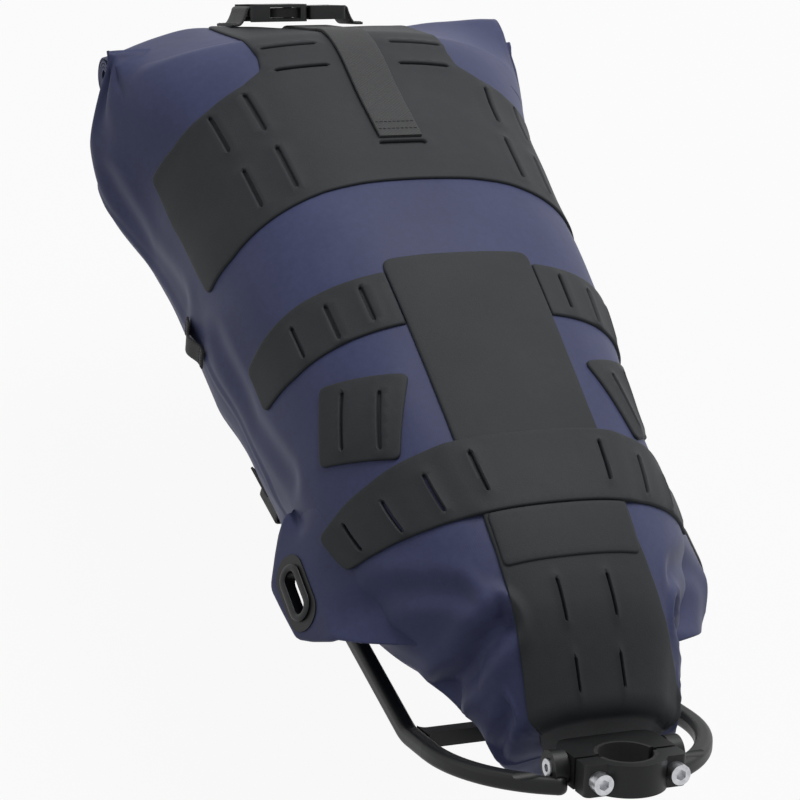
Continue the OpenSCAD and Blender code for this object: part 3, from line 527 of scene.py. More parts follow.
def ribbon(name, path, across, w, t, material, replaced, body="bag", lift=0.0):
    """Webbing of width w and thickness t along a path; across is the direction of its width."""
    p = np.asarray(path, float)
    wide = np.broadcast_to(np.asarray(across, float), p.shape)
    up = unit(np.cross(unit(np.gradient(p, axis=0)), wide))
    x, y = w / 2 - RIBBON_CORNER, t / 2 - RIBBON_CORNER
    shape = []
    for k, (u, v) in enumerate(((1, 1), (-1, 1), (-1, -1), (1, -1))):
        for step in range(4):
            s = math.radians(90 * k + 30 * step)
            shape.append((u * x + RIBBON_CORNER * math.cos(s), t / 2 + v * y + RIBBON_CORNER * math.sin(s)))
    upper = [(at, t) for at in np.linspace(x, -x, 9)[1:-1]]
    under = [(at, 0) for at in np.linspace(-x, x, 9)[1:-1]]
    shape = np.array(shape[:4] + upper + shape[4:12] + under + shape[12:])
    m, n = len(p), len(shape)
    verts = p[:, None] + wide[:, None] * shape[None, :, :1] + up[:, None] * (lift + shape[None, :, 1:])
    faces = tube_faces(m, n)
    uv = np.stack(np.broadcast_arrays(lengths(p)[:, None], shape[None, :, 0]), -1).reshape(-1, 2) * MM
    uvs = [uv[v] for f in faces for v in f]
    obj = new_object(name, verts.reshape(-1, 3), faces, uvs, material, body, 60)
    turn_outward(obj.data)
    if replaced:
        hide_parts(*replaced)
    return obj


def turn_outward(mesh):
    """Turns every face outward, so that a closed mesh has positive volume."""
    bm = bmesh.new()
    bm.from_mesh(mesh)
    bmesh.ops.recalc_face_normals(bm, faces=bm.faces)
    bm.to_mesh(mesh)
    bm.free()


def add_wall(obj, thickness):
    """Gives a surface of fabric its thickness, on its inner side."""
    wall = obj.modifiers.new("wall", "SOLIDIFY")
    wall.thickness = thickness * MM
    wall.offset = -1


# Rings of a stitch: place along it as a share of its length, and share of its girth
STITCH_RINGS = ((-0.5, 0.25), (-0.36, 0.85), (0.0, 1.0), (0.36, 0.85), (0.5, 0.25))
STITCH_SIDES = 6


def stitches(name, rows, body, gap=2.6, length=2.0, girth=0.42):
    """Thread as rows of small rounded grains; a row is its path and the outward directions along it."""
    verts, faces, uvs = [], [], []
    n = STITCH_SIDES
    for path, outward in rows:
        line = resample(np.hstack([path, outward]), gap)
        ahead = unit(np.gradient(line[:, :3], axis=0))
        up = unit(line[:, 3:] - ahead * np.einsum("ij,ij->i", line[:, 3:], ahead)[:, None])
        across = np.cross(ahead, up)
        for spot, a, u, c in zip(line[:, :3], ahead, up, across):
            base = len(verts)
            for along, share in STITCH_RINGS:
                for k in range(n):
                    t = 2 * math.pi * k / n
                    out = u * math.sin(t) + c * math.cos(t)
                    verts.append(spot + a * along * length + out * girth * share)
            for f in tube_faces(len(STITCH_RINGS), n):
                faces.append(tuple(base + v for v in f))
                uvs += [(v % n * girth * MM, v // n * length / 4 * MM) for v in f]
    obj = new_object(name, verts, faces, uvs, THREAD, body, 80)
    turn_outward(obj.data)


def tack(path, across, at, half, height, side=1):
    """Row of stitches across a web at one point of its path, on its upper face, or its lower for side -1."""
    p = np.asarray(path, float)
    wide = np.broadcast_to(np.asarray(across, float), p.shape)[at]
    up = np.cross(np.gradient(p, axis=0)[at], wide)
    up = up / np.linalg.norm(up) * side
    x = np.linspace(-half, half, 12)[:, None]
    return p[at] + wide * x + up * height, np.repeat(up[None], len(x), 0)


# Materials

class Tree:
    """Shorthand for a node tree."""

    def __init__(self, owner):
        owner.use_nodes = True
        self.tree = owner.node_tree

    def add(self, kind, **values):
        node = self.tree.nodes.new(kind)
        for key, value in values.items():
            if key in node.inputs:
                node.inputs[key].default_value = value
            else:
                setattr(node, key, value)
        return node

    def link(self, a, b):
        self.tree.links.new(a, b)

    def math(self, op, a, b=None):
        n = self.add("ShaderNodeMath", operation=op)
        for socket, v in zip(n.inputs, (a, b)):
            if isinstance(v, (int, float)):
                socket.default_value = v
            elif v is not None:
                self.link(v, socket)
        return n.outputs[0]

    def range(self, fac, lo, hi):
        n = self.add("ShaderNodeMapRange", **{"To Min": lo, "To Max": hi})
        self.link(fac, n.inputs["Value"])
        return n.outputs[0]

    def seen(self):
        """1 for rays from the camera and for mirrored and transmitted rays."""
        rays = self.add("ShaderNodeLightPath").outputs
        onward = self.math("MAXIMUM", rays["Is Glossy Ray"], rays["Is Transmission Ray"])
        return self.math("MAXIMUM", rays["Is Camera Ray"], onward)


class Surface(Tree):
    """Node tree of a material of the part."""

    def __init__(self, name):
        self.mat = bpy.data.materials.new(name)
        super().__init__(self.mat)
        self.bsdf = self.tree.nodes["Principled BSDF"].inputs
        self.uv = self.add("ShaderNodeTexCoord").outputs["UV"]
        self.obj = self.add("ShaderNodeTexCoord").outputs["Object"]

    def noise(self, scale, detail=3.0, rough=0.6):
        n = self.add("ShaderNodeTexNoise", Scale=scale, Detail=detail, Roughness=rough)
        self.link(self.obj, n.inputs["Vector"])
        return n.outputs["Fac"]

    def mix(self, a, share, b):
        """Sum of a and b, with a share for a and the rest for b."""
        return self.math("ADD", self.math("MULTIPLY", a, share), self.math("MULTIPLY", b, 1 - share))

    def ramp(self, fac, stops):
        n = self.add("ShaderNodeValToRGB")
        while len(n.color_ramp.elements) < len(stops):
            n.color_ramp.elements.new(0.5)
        for e, (pos, col) in zip(n.color_ramp.elements, stops):
            e.position = pos
            e.color = srgb(*col)
        self.link(fac, n.inputs["Fac"])
        return n.outputs["Color"]

    def bump(self, height, strength, distance, after=None):
        n = self.add("ShaderNodeBump", Strength=strength, Distance=distance)
        self.link(height, n.inputs["Height"])
        if after is not None:
            self.link(after, n.inputs["Normal"])
        return n.outputs["Normal"]

    def finish(self, color, rough, normal):
        self.link(color, self.bsdf["Base Color"])
        self.link(rough, self.bsdf["Roughness"])
        self.link(normal, self.bsdf["Normal"])
        return self.mat

    def weave(self, pitch_x, pitch_y):
        """Plain weave: two crossed rows of threads."""
        split = self.add("ShaderNodeSeparateXYZ")
        self.link(self.uv, split.inputs[0])
        a = self.math("SINE", self.math("MULTIPLY", split.outputs["X"], 2 * math.pi / pitch_x))
        b = self.math("SINE", self.math("MULTIPLY", split.outputs["Y"], 2 * math.pi / pitch_y))
        return self.math("ADD", self.math("MULTIPLY", self.math("MULTIPLY", a, b), 0.5), 0.5)


def fabric_navy():
    m = Surface("navy_coated_fabric")
    big = m.noise(14.0)
    fine = m.noise(260.0, 4.0)
    stops = [(0.28, (51, 55, 85)), (0.52, (61, 66, 99)), (0.78, (72, 78, 113))]
    color = m.ramp(m.mix(big, 0.62, fine), stops)
    rough = m.range(m.mix(fine, 0.6, big), 0.44, 0.66)
    crumple = m.bump(m.noise(55.0, 2.0, 0.5), 0.22, 0.0016)
    m.bsdf["Sheen Weight"].default_value = 0.05
    m.bsdf["Sheen Roughness"].default_value = 0.5
    m.bsdf["Specular IOR Level"].default_value = 0.2
    return m.finish(color, rough, m.bump(m.weave(0.0011, 0.0011), 0.16, 0.00012, crumple))


def panel_black():
    m = Surface("black_lash_panel")
    big = m.noise(18.0, 3.0, 0.55)
    grain = m.noise(900.0)
    scuff = m.noise(90.0, 5.0, 0.7)
    stops = [(0.3, (40, 42, 45)), (0.55, (47, 49, 52)), (0.8, (56, 58, 61))]
    color = m.ramp(m.mix(big, 0.5, scuff), stops)
    rough = m.range(m.mix(grain, 0.5, scuff), 0.5, 0.74)
    cells = m.add("ShaderNodeTexVoronoi", Scale=1300.0)
    m.link(m.obj, cells.inputs["Vector"])
    pores = m.bump(cells.outputs["Distance"], 0.18, 0.00025)
    m.bsdf["Specular IOR Level"].default_value = 0.18
    return m.finish(color, rough, m.bump(m.noise(60.0, 2.0, 0.55), 0.12, 0.0012, pores))


def webbing_black():
    m = Surface("black_webbing")
    weave = m.weave(0.0016, 0.0022)
    fine = m.noise(700.0)
    stops = [(0.2, (24, 25, 27)), (0.6, (37, 38, 40)), (0.9, (50, 51, 53))]
    color = m.ramp(m.mix(weave, 0.5, fine), stops)
    rough = m.range(fine, 0.62, 0.88)
    threads = m.bump(weave, 0.5, 0.00035)
    m.bsdf["Sheen Weight"].default_value = 0.1
    return m.finish(color, rough, m.bump(fine, 0.15, 0.0002, threads))


def moulded(name, dark, light, rough_lo, rough_hi, grain=1100.0):
    m = Surface(name)
    fine = m.noise(grain)
    big = m.noise(40.0, 4.0)
    color = m.ramp(m.mix(big, 0.6, fine), [(0.3, dark), (0.75, light)])
    rough = m.range(m.mix(fine, 0.5, big), rough_lo, rough_hi)
    m.bsdf["Specular IOR Level"].default_value = 0.3
    return m.finish(color, rough, m.bump(fine, 0.16, 0.0002))


def steel():
    m = Surface("stainless_steel")
    m.bsdf["Metallic"].default_value = 1.0
    fine = m.noise(2200.0, 2.0, 0.5)
    big = m.noise(320.0)
    color = m.ramp(big, [(0.3, (176, 178, 182)), (0.75, (214, 215, 218))])
    rough = m.range(m.mix(fine, 0.5, big), 0.2, 0.42)
    return m.finish(color, rough, m.bump(fine, 0.08, 0.0001))


NAVY = fabric_navy()
BLACK = panel_black()
WEBBING = webbing_black()
PLASTIC = moulded("moulded_plastic", (24, 25, 27), (38, 39, 41), 0.34, 0.52)
BOARD = moulded("stiffener_sheet", (34, 34, 36), (46, 46, 48), 0.45, 0.6)
BRACKET = moulded("bracket_black", (17, 18, 19), (29, 30, 31), 0.34, 0.56, 1500.0)
RUBBER = moulded("liner_rubber", (28, 28, 28), (40, 40, 40), 0.62, 0.8, 600.0)
STEEL = steel()
EYELET = moulded("eyelet_plastic", (15, 16, 18), (25, 26, 28), 0.34, 0.52)
THREAD = moulded("sewing_thread", (30, 31, 33), (52, 53, 56), 0.55, 0.75, 2600.0)


# Bag

BAG_SIDES = 312
BAG_WALL, COVER_WALL = 1.4, 1.2


def make_bag():
    rings = np.concatenate([
        np.linspace(NOSE, NOSE + NOSE_ROUND, 6)[:-1],
        np.linspace(NOSE + NOSE_ROUND, TAIL - 30, 118)[:-1],
        np.linspace(TAIL - 30, MOUTH, 30),
    ])
    n = BAG_SIDES
    angles = np.linspace(-180, 180, n + 1)[:-1]
    body = lay(rings[:, None], angles[None])
    centre = body[0].mean(0)
    centre[0] = -NOSE
    cap = [centre + (body[0] - centre) * s for s in (0.02, 0.3, 0.6, 0.85)]
    # The lips of the mouth close towards the roll
    lips = []
    for dx, squeeze, lift in ((1.5, 0.75, 1.2), (3.0, 0.5, 2.6), (5.5, 0.32, 3.6)):
        ring = body[-1].copy()
        middle = ring[:, 2].mean()
        ring[:, 0] -= dx
        ring[:, 2] = middle + (ring[:, 2] - middle) * squeeze + lift
        lips.append(ring)
    grid = np.concatenate([np.array(cap), body, np.array(lips)])
    m = len(grid)
    reach = np.concatenate([NOSE - np.array([40, 28, 14, 5]), rings, MOUTH + np.array([1.5, 3, 5.5])])
    girth = np.linalg.norm(np.diff(np.concatenate([grid, grid[:, :1]], 1), axis=1), axis=2)
    run = np.concatenate([np.zeros((m, 1)), np.cumsum(girth, 1)], 1)
    faces = ring_faces(m, n) + [tuple(range(n))]
    uvs = [(reach[i] * MM, run[i, j] * MM) for i, j in ring_corners(m, n) + [(0, j) for j in range(n)]]
    obj = new_object("bag_body", grid.reshape(-1, 3), faces, uvs, NAVY, "bag", 70)
    turn_outward(obj.data)
    add_wall(obj, BAG_WALL)
    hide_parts("bag_shell")


# The outer turn of the roll: at each distance from the middle plane the fabric is drawn tight over the bag's
# ridge and the rolled core, then passes behind the core and under it
HOOD_R = ROLL_R - 0.6
HOOD_FROM = 470.0
HOOD_YS = np.linspace(-ROLL_HALF, ROLL_HALF, 83)
HOOD_STEP = 1.5
HOOD_COUNT = 72
HOOD_LEAD = 6


def roll_shift(y):
    """How far the roll is moved at a distance from the middle plane: the strap pulls it and its ends hang."""
    y = np.asarray(y, float)
    right_end = ramp(-y, 70, ROLL_HALF + 12)
    left_end = ramp(y, 60, ROLL_HALF)
    pull = bump(y, 12, 90)
    ripple = 0.5 * np.sin(y / 11.0) + 0.35 * np.sin(y / 5.7 + 0.6)
    dx = 9.0 * right_end + 1.2 * pull - 1.5 * left_end
    dz = -15.0 * right_end - 1.6 * pull + 2.4 * left_end + ripple
    return dx, dz


def roll_outline(y, radius, start, end):
    """Points of the roll's section from one angle down to another; 90 is its top and 0 its rear."""
    dx, dz = roll_shift(y)
    pts = []
    for a in np.linspace(start, end, 40):
        c, s = math.cos(math.radians(a)), math.sin(math.radians(a))
        half = ROLL_FLAT / 2 * (1 if c > 0 else -1)
        pts.append((-ROLL_REACH - half - radius * c + dx, ROLL_Z + radius * s + dz))
    return pts


def hood_line(y):
    """Points (x, z) of the outer turn at a distance from the middle plane."""
    limit = section(np.array(HOOD_FROM), WIDTH) / 2 * 0.985
    yy = float(np.clip(y, -limit, limit))
    reach = np.linspace(HOOD_FROM - 14, 507, 40)
    angle = crown_angle(reach, yy)
    bag = lay(reach, angle, -0.25)[:, [0, 2]]
    cloud = [tuple(q) for q in bag] + roll_outline(y, HOOD_R, 140, 0)
    cloud.sort(key=lambda q: -q[0])
    hull = []
    for q in cloud:
        while len(hull) > 1:
            (x1, z1), (x2, z2) = hull[-2], hull[-1]
            if (x2 - x1) * (q[1] - z1) - (z2 - z1) * (q[0] - x1) > 0:
                break
            hull.pop()
        hull.append(q)
    rear = min(range(len(hull)), key=lambda i: hull[i][0])
    path = np.array(hull[:rear + 1] + roll_outline(y, HOOD_R, -4, -100))
    run = lengths(path)
    start = np.interp(HOOD_FROM, -path[:, 0], run)
    t = start + np.arange(-HOOD_LEAD, HOOD_COUNT - HOOD_LEAD) * HOOD_STEP
    line = np.stack([np.interp(t, run, path[:, k]) for k in (0, 1)], -1)
    return relax(line, 3)


HOOD = relax([hood_line(y) for y in HOOD_YS], 2)


def hood(y, run):
    """Point of the hood at a distance from the middle plane and a distance along it from the ridge."""
    y, run = pair(y, run)
    i = np.clip((y - HOOD_YS[0]) / (HOOD_YS[1] - HOOD_YS[0]), 0, len(HOOD_YS) - 1.001)
    j = np.clip(run / HOOD_STEP + HOOD_LEAD, 0, HOOD_COUNT - 1.001)
    i0, j0 = i.astype(int), j.astype(int)
    u, v = (i - i0)[..., None], (j - j0)[..., None]
    xz = (
        HOOD[i0, j0] * (1 - u) * (1 - v) + HOOD[i0 + 1, j0] * u * (1 - v)
        + HOOD[i0, j0 + 1] * (1 - u) * v + HOOD[i0 + 1, j0 + 1] * u * v
    )
    return np.stack([xz[..., 0], y, xz[..., 1]], -1)


def over_hood(y, run, lift):
    """Points at a lift off the hood."""
    ahead = hood(y, run + 1.5) - hood(y, run - 1.5)
    side = hood(np.asarray(y) + 2, run) - hood(np.asarray(y) - 2, run)
    return hood(y, run) + unit(np.cross(side, ahead)) * lift[:, None]


def make_roll():
    """Rolled core: a flattened spiral of coated fabric, and the outer turn that covers it."""
    sides, turns = 36, 3
    core = 3.2
    top = HOOD_R - 1.6
    pitch = (top - core) / turns
    i = np.arange(sides * turns + 1)
    a = np.radians(90 + 360 / sides * (i + 0.5))
    radius = top - pitch * i / sides

    def turn(r):
        return np.stack([np.cos(a) * r + ROLL_FLAT / 2 * np.tanh(np.cos(a) * 4), np.sin(a) * r], -1)

    thick = 1.5
    outer, inner = turn(radius), turn(radius - thick)
    k = len(outer)
    both_sides = np.vstack([outer, inner])
    grid = []
    for y in HOOD_YS:
        dx, dz = roll_shift(y)
        grid.append(np.stack([
            -ROLL_REACH + both_sides[:, 0] + dx, np.full(2 * k, y), ROLL_Z + both_sides[:, 1] + dz,
        ], -1))
    grid = np.array(grid)
    m = len(grid)
    faces, uvs = [], []
    run = lengths(outer)

    def quad(*cs):
        faces.append(tuple(j * 2 * k + c for j, c in cs))
        uvs.extend((HOOD_YS[j] * MM, run[c % k] * MM) for j, c in cs)

    for j in range(m - 1):
        for c in range(k - 1):
            quad((j, c), (j + 1, c), (j + 1, c + 1), (j, c + 1))
            quad((j, k + c), (j, k + c + 1), (j + 1, k + c + 1), (j + 1, k + c))
        quad((j, 0), (j, k), (j + 1, k), (j + 1, 0))
        quad((j, k - 1), (j + 1, k - 1), (j + 1, 2 * k - 1), (j, 2 * k - 1))
    for c in range(k - 1):
        quad((0, c), (0, c + 1), (0, k + c + 1), (0, k + c))
        quad((m - 1, c), (m - 1, k + c), (m - 1, k + c + 1), (m - 1, c + 1))
    core_piece = new_object("rolled_core", grid.reshape(-1, 3), faces, uvs, NAVY, "bag", 45)
    turn_outward(core_piece.data)

    runs = (np.arange(HOOD_COUNT) - HOOD_LEAD) * HOOD_STEP
    sheet = hood(HOOD_YS[:, None], runs[None])
    m, n = sheet.shape[:2]
    faces = [
        (i * n + j, (i + 1) * n + j, (i + 1) * n + j + 1, i * n + j + 1)
        for i in range(m - 1) for j in range(n - 1)
    ]
    flat_uv = np.stack(np.broadcast_arrays(runs[None] + HOOD_FROM, HOOD_YS[:, None]), -1).reshape(-1, 2) * MM
    uvs = [flat_uv[v] for f in faces for v in f]
    cover = new_object("rolled_cover", sheet.reshape(-1, 3), faces, uvs, NAVY, "bag", 60)
    add_wall(cover, COVER_WALL)
    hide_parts("roll_closure")
    ys = np.linspace(6 - ROLL_HALF, ROLL_HALF - 6, 60)
    dx, dz = roll_shift(ys)
    line = np.stack([dx - ROLL_REACH, ys, ROLL_Z + dz], -1)
    ribbon("closure_stiffener", line, (1, 0, 0), 6, 2, BOARD, ["closure_strip"], lift=-1.0)


make_bag()
make_roll()

# Panels
SLIT_W = 1.5
LIPS = 1.0


def slit(r0, a0, r1, a1, width=SLIT_W):
    return slot_outline((r0, a0 * ARC), (r1, a1 * ARC), width)


def slits(cuts, signs=(1, -1)):
    """Slits from one reach and angle to another, on the sides whose signs are given."""
    return [slit(r0, sign * a0, r1, sign * a1) for r0, a0, r1, a1 in cuts for sign in signs]


def black_sheet(name, outline, holes, replaced, radius=5, lift=0.35, t=PANEL_T, step=3.2, place=on_skin):
    # Each panel gets a dark layer under its slits, which paints the shade inside them
    sheet_piece(
        name, rounded(flat(outline), radius), holes, place, t, BLACK, replaced,
        step=step, lift=lift, lips=LIPS, paint_slit_shade=True,
    )


rear_half = [
    (354, 0), (353.5, 16), (352, 28), (347, 45), (342, 62), (343, 80), (401, 82), (435, 79), (434, 62),
    (438, 47), (446, 34), (454, 27.5), (466, 26), (480, 26.3), (500, 26.8), (520, 27.5), (540, 28), (540, 0),
]
rear_cuts = slits([
    (361, 34.5, 393, 34.5), (358, 45.5, 387, 45.5), (409, 35, 438, 35), (405, 46.5, 433, 46.5),
    (451, 10.5, 451, 24), (471, 10.5, 471, 24),
])
rear_cuts.append(slit(383, -6.3, 383, 6.3, 3.0))
black_sheet("rear_lash_panel", mirrored(rear_half), rear_cuts, ["rear_panel"], 6)


FRONT_DROP = 24.0
SPINE_END = 296
SPINE_REACHES = (NOSE + 2.5, 40, 50, 62, 76, 92, 110, 134, 160, 190, 220, 250, 276, SPINE_END)


def on_spine(r, y):
    return float(crown_angle(np.array(float(r)), y))


def spine_edge(r):
    return on_spine(r, 37 + 5 * (r - NOSE) / (SPINE_END - NOSE))


spine_half = [(NOSE - FRONT_DROP, 0), (NOSE - FRONT_DROP, 34), (NOSE - 10, 44)]
spine_half += [(r, spine_edge(r)) for r in SPINE_REACHES]
spine_half += [(SPINE_END, 0)]
spine_outline = mirrored(spine_half)
# Towards the nose the panel reaches further down its left side
spine_wrap = 9.0 * (1 - ramp(spine_outline[:, 0], 52, 112)) + 17.0 * (1 - ramp(spine_outline[:, 0], 42, 72))
spine_outline[:, 1] += np.where(spine_outline[:, 1] > 30, spine_wrap, 0)
spine_rows = ((71, 90, 13.5), (41, 54, 12.0))
spine_cuts = slits([(r0, on_spine(r0, y), r1, on_spine(r1, y)) for r0, r1, y in spine_rows])
black_sheet("spine_panel_skin", spine_outline, spine_cuts, ["spine_panel"], 6, t=1.2, step=1.8)

wing = [(r, spine_edge(r) + 0.3) for r in (252, 264, 276, 288)]
wing += [(288, 50), (286, 66), (284, 80), (254, 81), (251, 60), (252, 40)]
wing_cuts = [(259, 31, 281, 31), (256, 42, 278, 42), (257, 54, 277, 54)]
patch = [(235, 54), (221, 28), (175, 41), (196, 67)]
patch_cuts = [(224, 48, 196, 56), (215, 38, 185, 45)]
for sign, tag in SIDES:
    outline = [(r, sign * a) for r, a in wing]
    radii = [0, 0, 0, 0, 4, 4, 6, 6, 4, 4]
    black_sheet("mid_wing_skin_" + tag, outline, slits(wing_cuts, (sign,)), ["mid_wing_" + tag], radii)
    outline = [(r, sign * a) for r, a in patch]
    black_sheet("lash_patch_skin_" + tag, outline, slits(patch_cuts, (sign,)), ["lash_patch_" + tag], 4)

band_half = [(131, 0), (131, 26), (133, 45), (137, 64), (141, 79)]
band_half += [(165, 80), (170, 64), (173, 45), (175, 28), (175, 0)]
band_cuts = slits([(143, 21.5, 166, 21.5), (139, 37, 161, 37), (139, 53, 158, 53), (144, 69, 160, 69)])


def over_ears(points, offset):
    """Places flat points over the spine panel, on the fabric beside it and over the roots of the ears."""
    a = np.abs(points[:, 1] / ARC)
    down = 1.2 * ramp(a, 26, 35)
    return on_skin(points, np.asarray(offset) - down + 3.6 * ramp(a, EAR_ROOT - 6, EAR_ROOT + 10))


black_sheet("lower_band_skin", mirrored(band_half), band_cuts, ["lower_band"], lift=1.7, place=over_ears)

patch_half = [(101, 0)] + [(r, spine_edge(r) * 0.96) for r in (101, 110, 120, 130.4)] + [(130.4, 0)]
black_sheet("spine_patch_skin", mirrored(patch_half), [], ["spine_patch"], 3, lift=1.6, t=1.1)

base_half = [(110, 0), (110, 28), (150, 31), (220, 31), (300, 31), (340, 29), (340, 0)]


def on_belly(points, offset):
    return lay(points[:, 0], 180 + points[:, 1] / ARC, offset)


sheet_piece(
    "base_panel_skin", rounded(flat(mirrored(base_half)), 8), [], on_belly, 1.2, BLACK,
    ["base_panel"], step=5.0,
)

# Side loops: a short band that stands off the flank between its sewn ends
LOOP_W, LOOP_T = 14, 1.3
for sign, tag in SIDES:
    reach = np.linspace(329, 357, 29)
    lift = 0.3 + 4.0 * bump(reach, 343, 10.5)
    path = lay(reach, sign * 104, lift)
    across = unit(lay(reach, sign * 108) - lay(reach, sign * 100)) * -sign
    ribbon("side_loop_web_" + tag, path, across, LOOP_W, LOOP_T, WEBBING, ["side_loop_" + tag])
    rows = [tack(path, across, at, 5.6, LOOP_T) for at in (1, 4, 24, 27)]
    stitches("side_loop_thread_" + tag, rows, "bag", gap=2.2, length=1.8)

# Straps

STRAP_ACROSS = (0, -1, 0)
STRAP_LIFT = 0.1
ANCHOR_W, ANCHOR_T = WEB_W + 6, 2.0


def strap_path():
    """From the slit in the rear panel over the bag and round the roll."""
    reach = np.linspace(387, HOOD_FROM - 2, 40)
    top = lay(reach, np.zeros(40), 2.1)
    run = np.arange(2, 84, 1.5)
    lift = 2.1 - 1.2 * ramp(run, 10, 40)
    back = over_hood(0.0, run, lift)
    under = lay(np.array([500.5, 499.3, 498.2]), np.full(3, 180.0), 1.2)
    return relax(resample(np.vstack([top, back, under]), 2.0), 8)


strap = strap_path()
ribbon(
    "compression_webbing", strap, STRAP_ACROSS, WEB_W, WEB_T, WEBBING, ["compression_strap"],
    lift=STRAP_LIFT,
)
stitches("strap_thread", [tack(strap, STRAP_ACROSS, at, 10.4, WEB_T + STRAP_LIFT) for at in (3, 6)], "bag")
anchor = lay(np.linspace(497.4, 491, 20), np.full(20, 180.0), 0.3)
ribbon(
    "strap_anchor_patch", anchor, STRAP_ACROSS, ANCHOR_W, ANCHOR_T, WEBBING, ["strap_anchor"],
)
stitches("strap_anchor_thread", [tack(anchor, STRAP_ACROSS, at, 13.5, ANCHOR_T) for at in (3, 16)], "bag")


# Ears

# How far an ear hangs below the horizontal, and its root and the top of its flat tab, down the ear
EAR_DROOP = math.radians(70)
ROOT_Q, TAB_Q = -60, -13.0


def ear_frame(sign, tag):
    """Middle of the eyelet's box and the directions down the ear and out of it."""
    lo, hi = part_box("eyelet_" + tag)
    mid = (np.array(lo) + np.array(hi)) / 2 / MM
    down = np.array([0, sign * math.cos(EAR_DROOP), -math.sin(EAR_DROOP)])
    out = np.array([0, sign * math.sin(EAR_DROOP), math.cos(EAR_DROOP)])
    return mid, down, out


def make_ear(sign, tag):
    box_mid, down, out = ear_frame(sign, tag)
    centre = box_mid - out * 0.1
    eye = -centre[0]

    def place(points, offset):
        r, q = points[:, 0], points[:, 1]
        offset = np.asarray(offset)
        d = offset - 1.35
        row = centre + np.stack([eye - r, np.zeros_like(r), np.zeros_like(r)], -1)
        tab = row + down * q[:, None] + out * d[:, None]
        top = row + down * TAB_Q + out * d[:, None]
        s = np.clip((q - ROOT_Q) / (TAB_Q - ROOT_Q), 0, 1)
        root_angle = EAR_ROOT + 16 * ramp(eye - r, 0, 60)
        # The sheet thins out at its root and dips into the fabric there
        root = lay(r, sign * root_angle, 0.3 * offset - 0.5)
        curved = root + (top - root) * s[:, None]
        curved[:, 0] = -r
        spot = np.where((q < TAB_Q)[:, None], curved, tab)
        # The rear corner runs into the flank
        sunk = lay(r, sign * (root_angle + 24 * s), 0.3 * offset - 1.6)
        merge = ramp(r, eye + 20, eye + 46) * ramp(-q, 6, 32)
        spot = spot + (sunk - spot) * merge[:, None]
        # Ahead of the eyelet the left ear curls in towards the flank
        curl = ramp(eye - 23 - r, 0, 42) * ramp(q, -48, 0) * (sign > 0)
        spot[:, 1] -= sign * 17 * curl
        spot[:, 2] -= 7 * curl
        return spot

    # The left ear hangs a little further forward, with a longer slanted edge
    if sign > 0:
        edge = [(-76, ROOT_Q), (-63, -30), (-52, -17), (-40, -7), (-24, 4)]
    else:
        edge = [(-60, ROOT_Q), (-47, -28), (-38, -9), (-28, 4), (-20, 12.5)]
    edge += [(0, 15.5), (17, 17.5), (30, 6), (37, -1), (43, -10), (49, -32), (54, ROOT_Q)]
    outline = rounded([(eye + r, q) for r, q in edge], [0, 20, 20, 14, 9, 30, 9, 12, 12, 16, 20, 0])
    hole = slot_outline((eye - 9.5, 0), (eye + 9.5, 0), 13.4, 10)
    sheet_piece(
        "ear_skin_" + tag, outline, [hole], place, 2.4, NAVY, ["ear_" + tag],
        step=2.6, lift=0.15,
    )


# Half width and height of an eyelet's lip, and how far it lies out of the middle of the eyelet's box
LIP_HALF, LIP_RISE, LIP_OUT = 2.0, 1.1, 2.8
LIP_SIDES = 12


def make_lip(sign, tag):
    """Rounded ridge round the slot of an eyelet."""
    box_mid, down, out = ear_frame(sign, tag)
    line = closed_resample(slot_outline((-8.5, 0), (8.5, 0), 12.2, 10), 1.0)
    along = unit(np.roll(line, -1, 0) - np.roll(line, 1, 0))
    m, n = len(line), LIP_SIDES
    turn = np.linspace(0, 2 * math.pi, n, endpoint=False)
    side = LIP_HALF * np.cos(turn)
    rise = LIP_RISE * np.sin(turn)
    spot = line[:, None] + np.stack([along[:, 1], -along[:, 0]], -1)[:, None] * side[None, :, None]
    backward = np.array([-1.0, 0, 0])
    face = box_mid + out * LIP_OUT
    verts = face + spot[..., :1] * backward + spot[..., 1:] * down + rise[None, :, None] * out
    faces = [tuple(v % (m * n) for v in quad) for quad in ring_faces(m + 1, n)]
    uvs = [(i * MM, j * 0.9 * MM) for i, j in ring_corners(m + 1, n)]
    lip = new_object("eyelet_lip_" + tag, verts.reshape(-1, 3), faces, uvs, PLASTIC, "bag")
    turn_outward(lip.data)


for sign, tag in SIDES:
    make_ear(sign, tag)
    make_lip(sign, tag)


# Webbing tabs of the buckle: a loop round the bar, a short ramp and a sewn foot on the roll
LEAN = math.radians(40)
BUCKLE_Y = -9.0
BUCKLE_LIFT = 7.5
BUCKLE_X = np.array([math.cos(LEAN), 0, math.sin(LEAN)])
BUCKLE_Z = np.array([-math.sin(LEAN), 0, math.cos(LEAN)])
BUCKLE = np.array([-(ROLL_REACH + ROLL_FLAT / 2), BUCKLE_Y, ROLL_Z]) + (ROLL_R + BUCKLE_LIFT) * BUCKLE_Z
TAB_T = 1.5


def webbing_tab(sign, tag, body):
    bar_near, bar_far = 26.7, 30.3
    over = 2.3 + 0.9
    foot = 0.9 - BUCKLE_LIFT
    loop = relax(resample(np.array([
        (bar_near - 0.9, -1.0), (bar_near - 0.9, over), (bar_far + 0.7, over), (bar_far + 1.2, 0.5),
        (33.5, foot + 2.6), (35.5, foot), (41.0, foot),
    ]), 0.8), 3)
    path = BUCKLE + loop[:, :1] * sign * np.array([0, 1, 0]) + loop[:, 1:] * BUCKLE_Z
    across = BUCKLE_X * sign
    ribbon(
        "buckle_tab_" + tag, path, across, WEB_W, TAB_T, WEBBING, ["buckle_webbing_" + tag],
        body=body, lift=-TAB_T / 2,
    )
    rows = [tack(path, across, at, 10.4, TAB_T / 2, -1) for at in (-2, -5)]
    stitches("buckle_tab_thread_" + tag, rows, body)


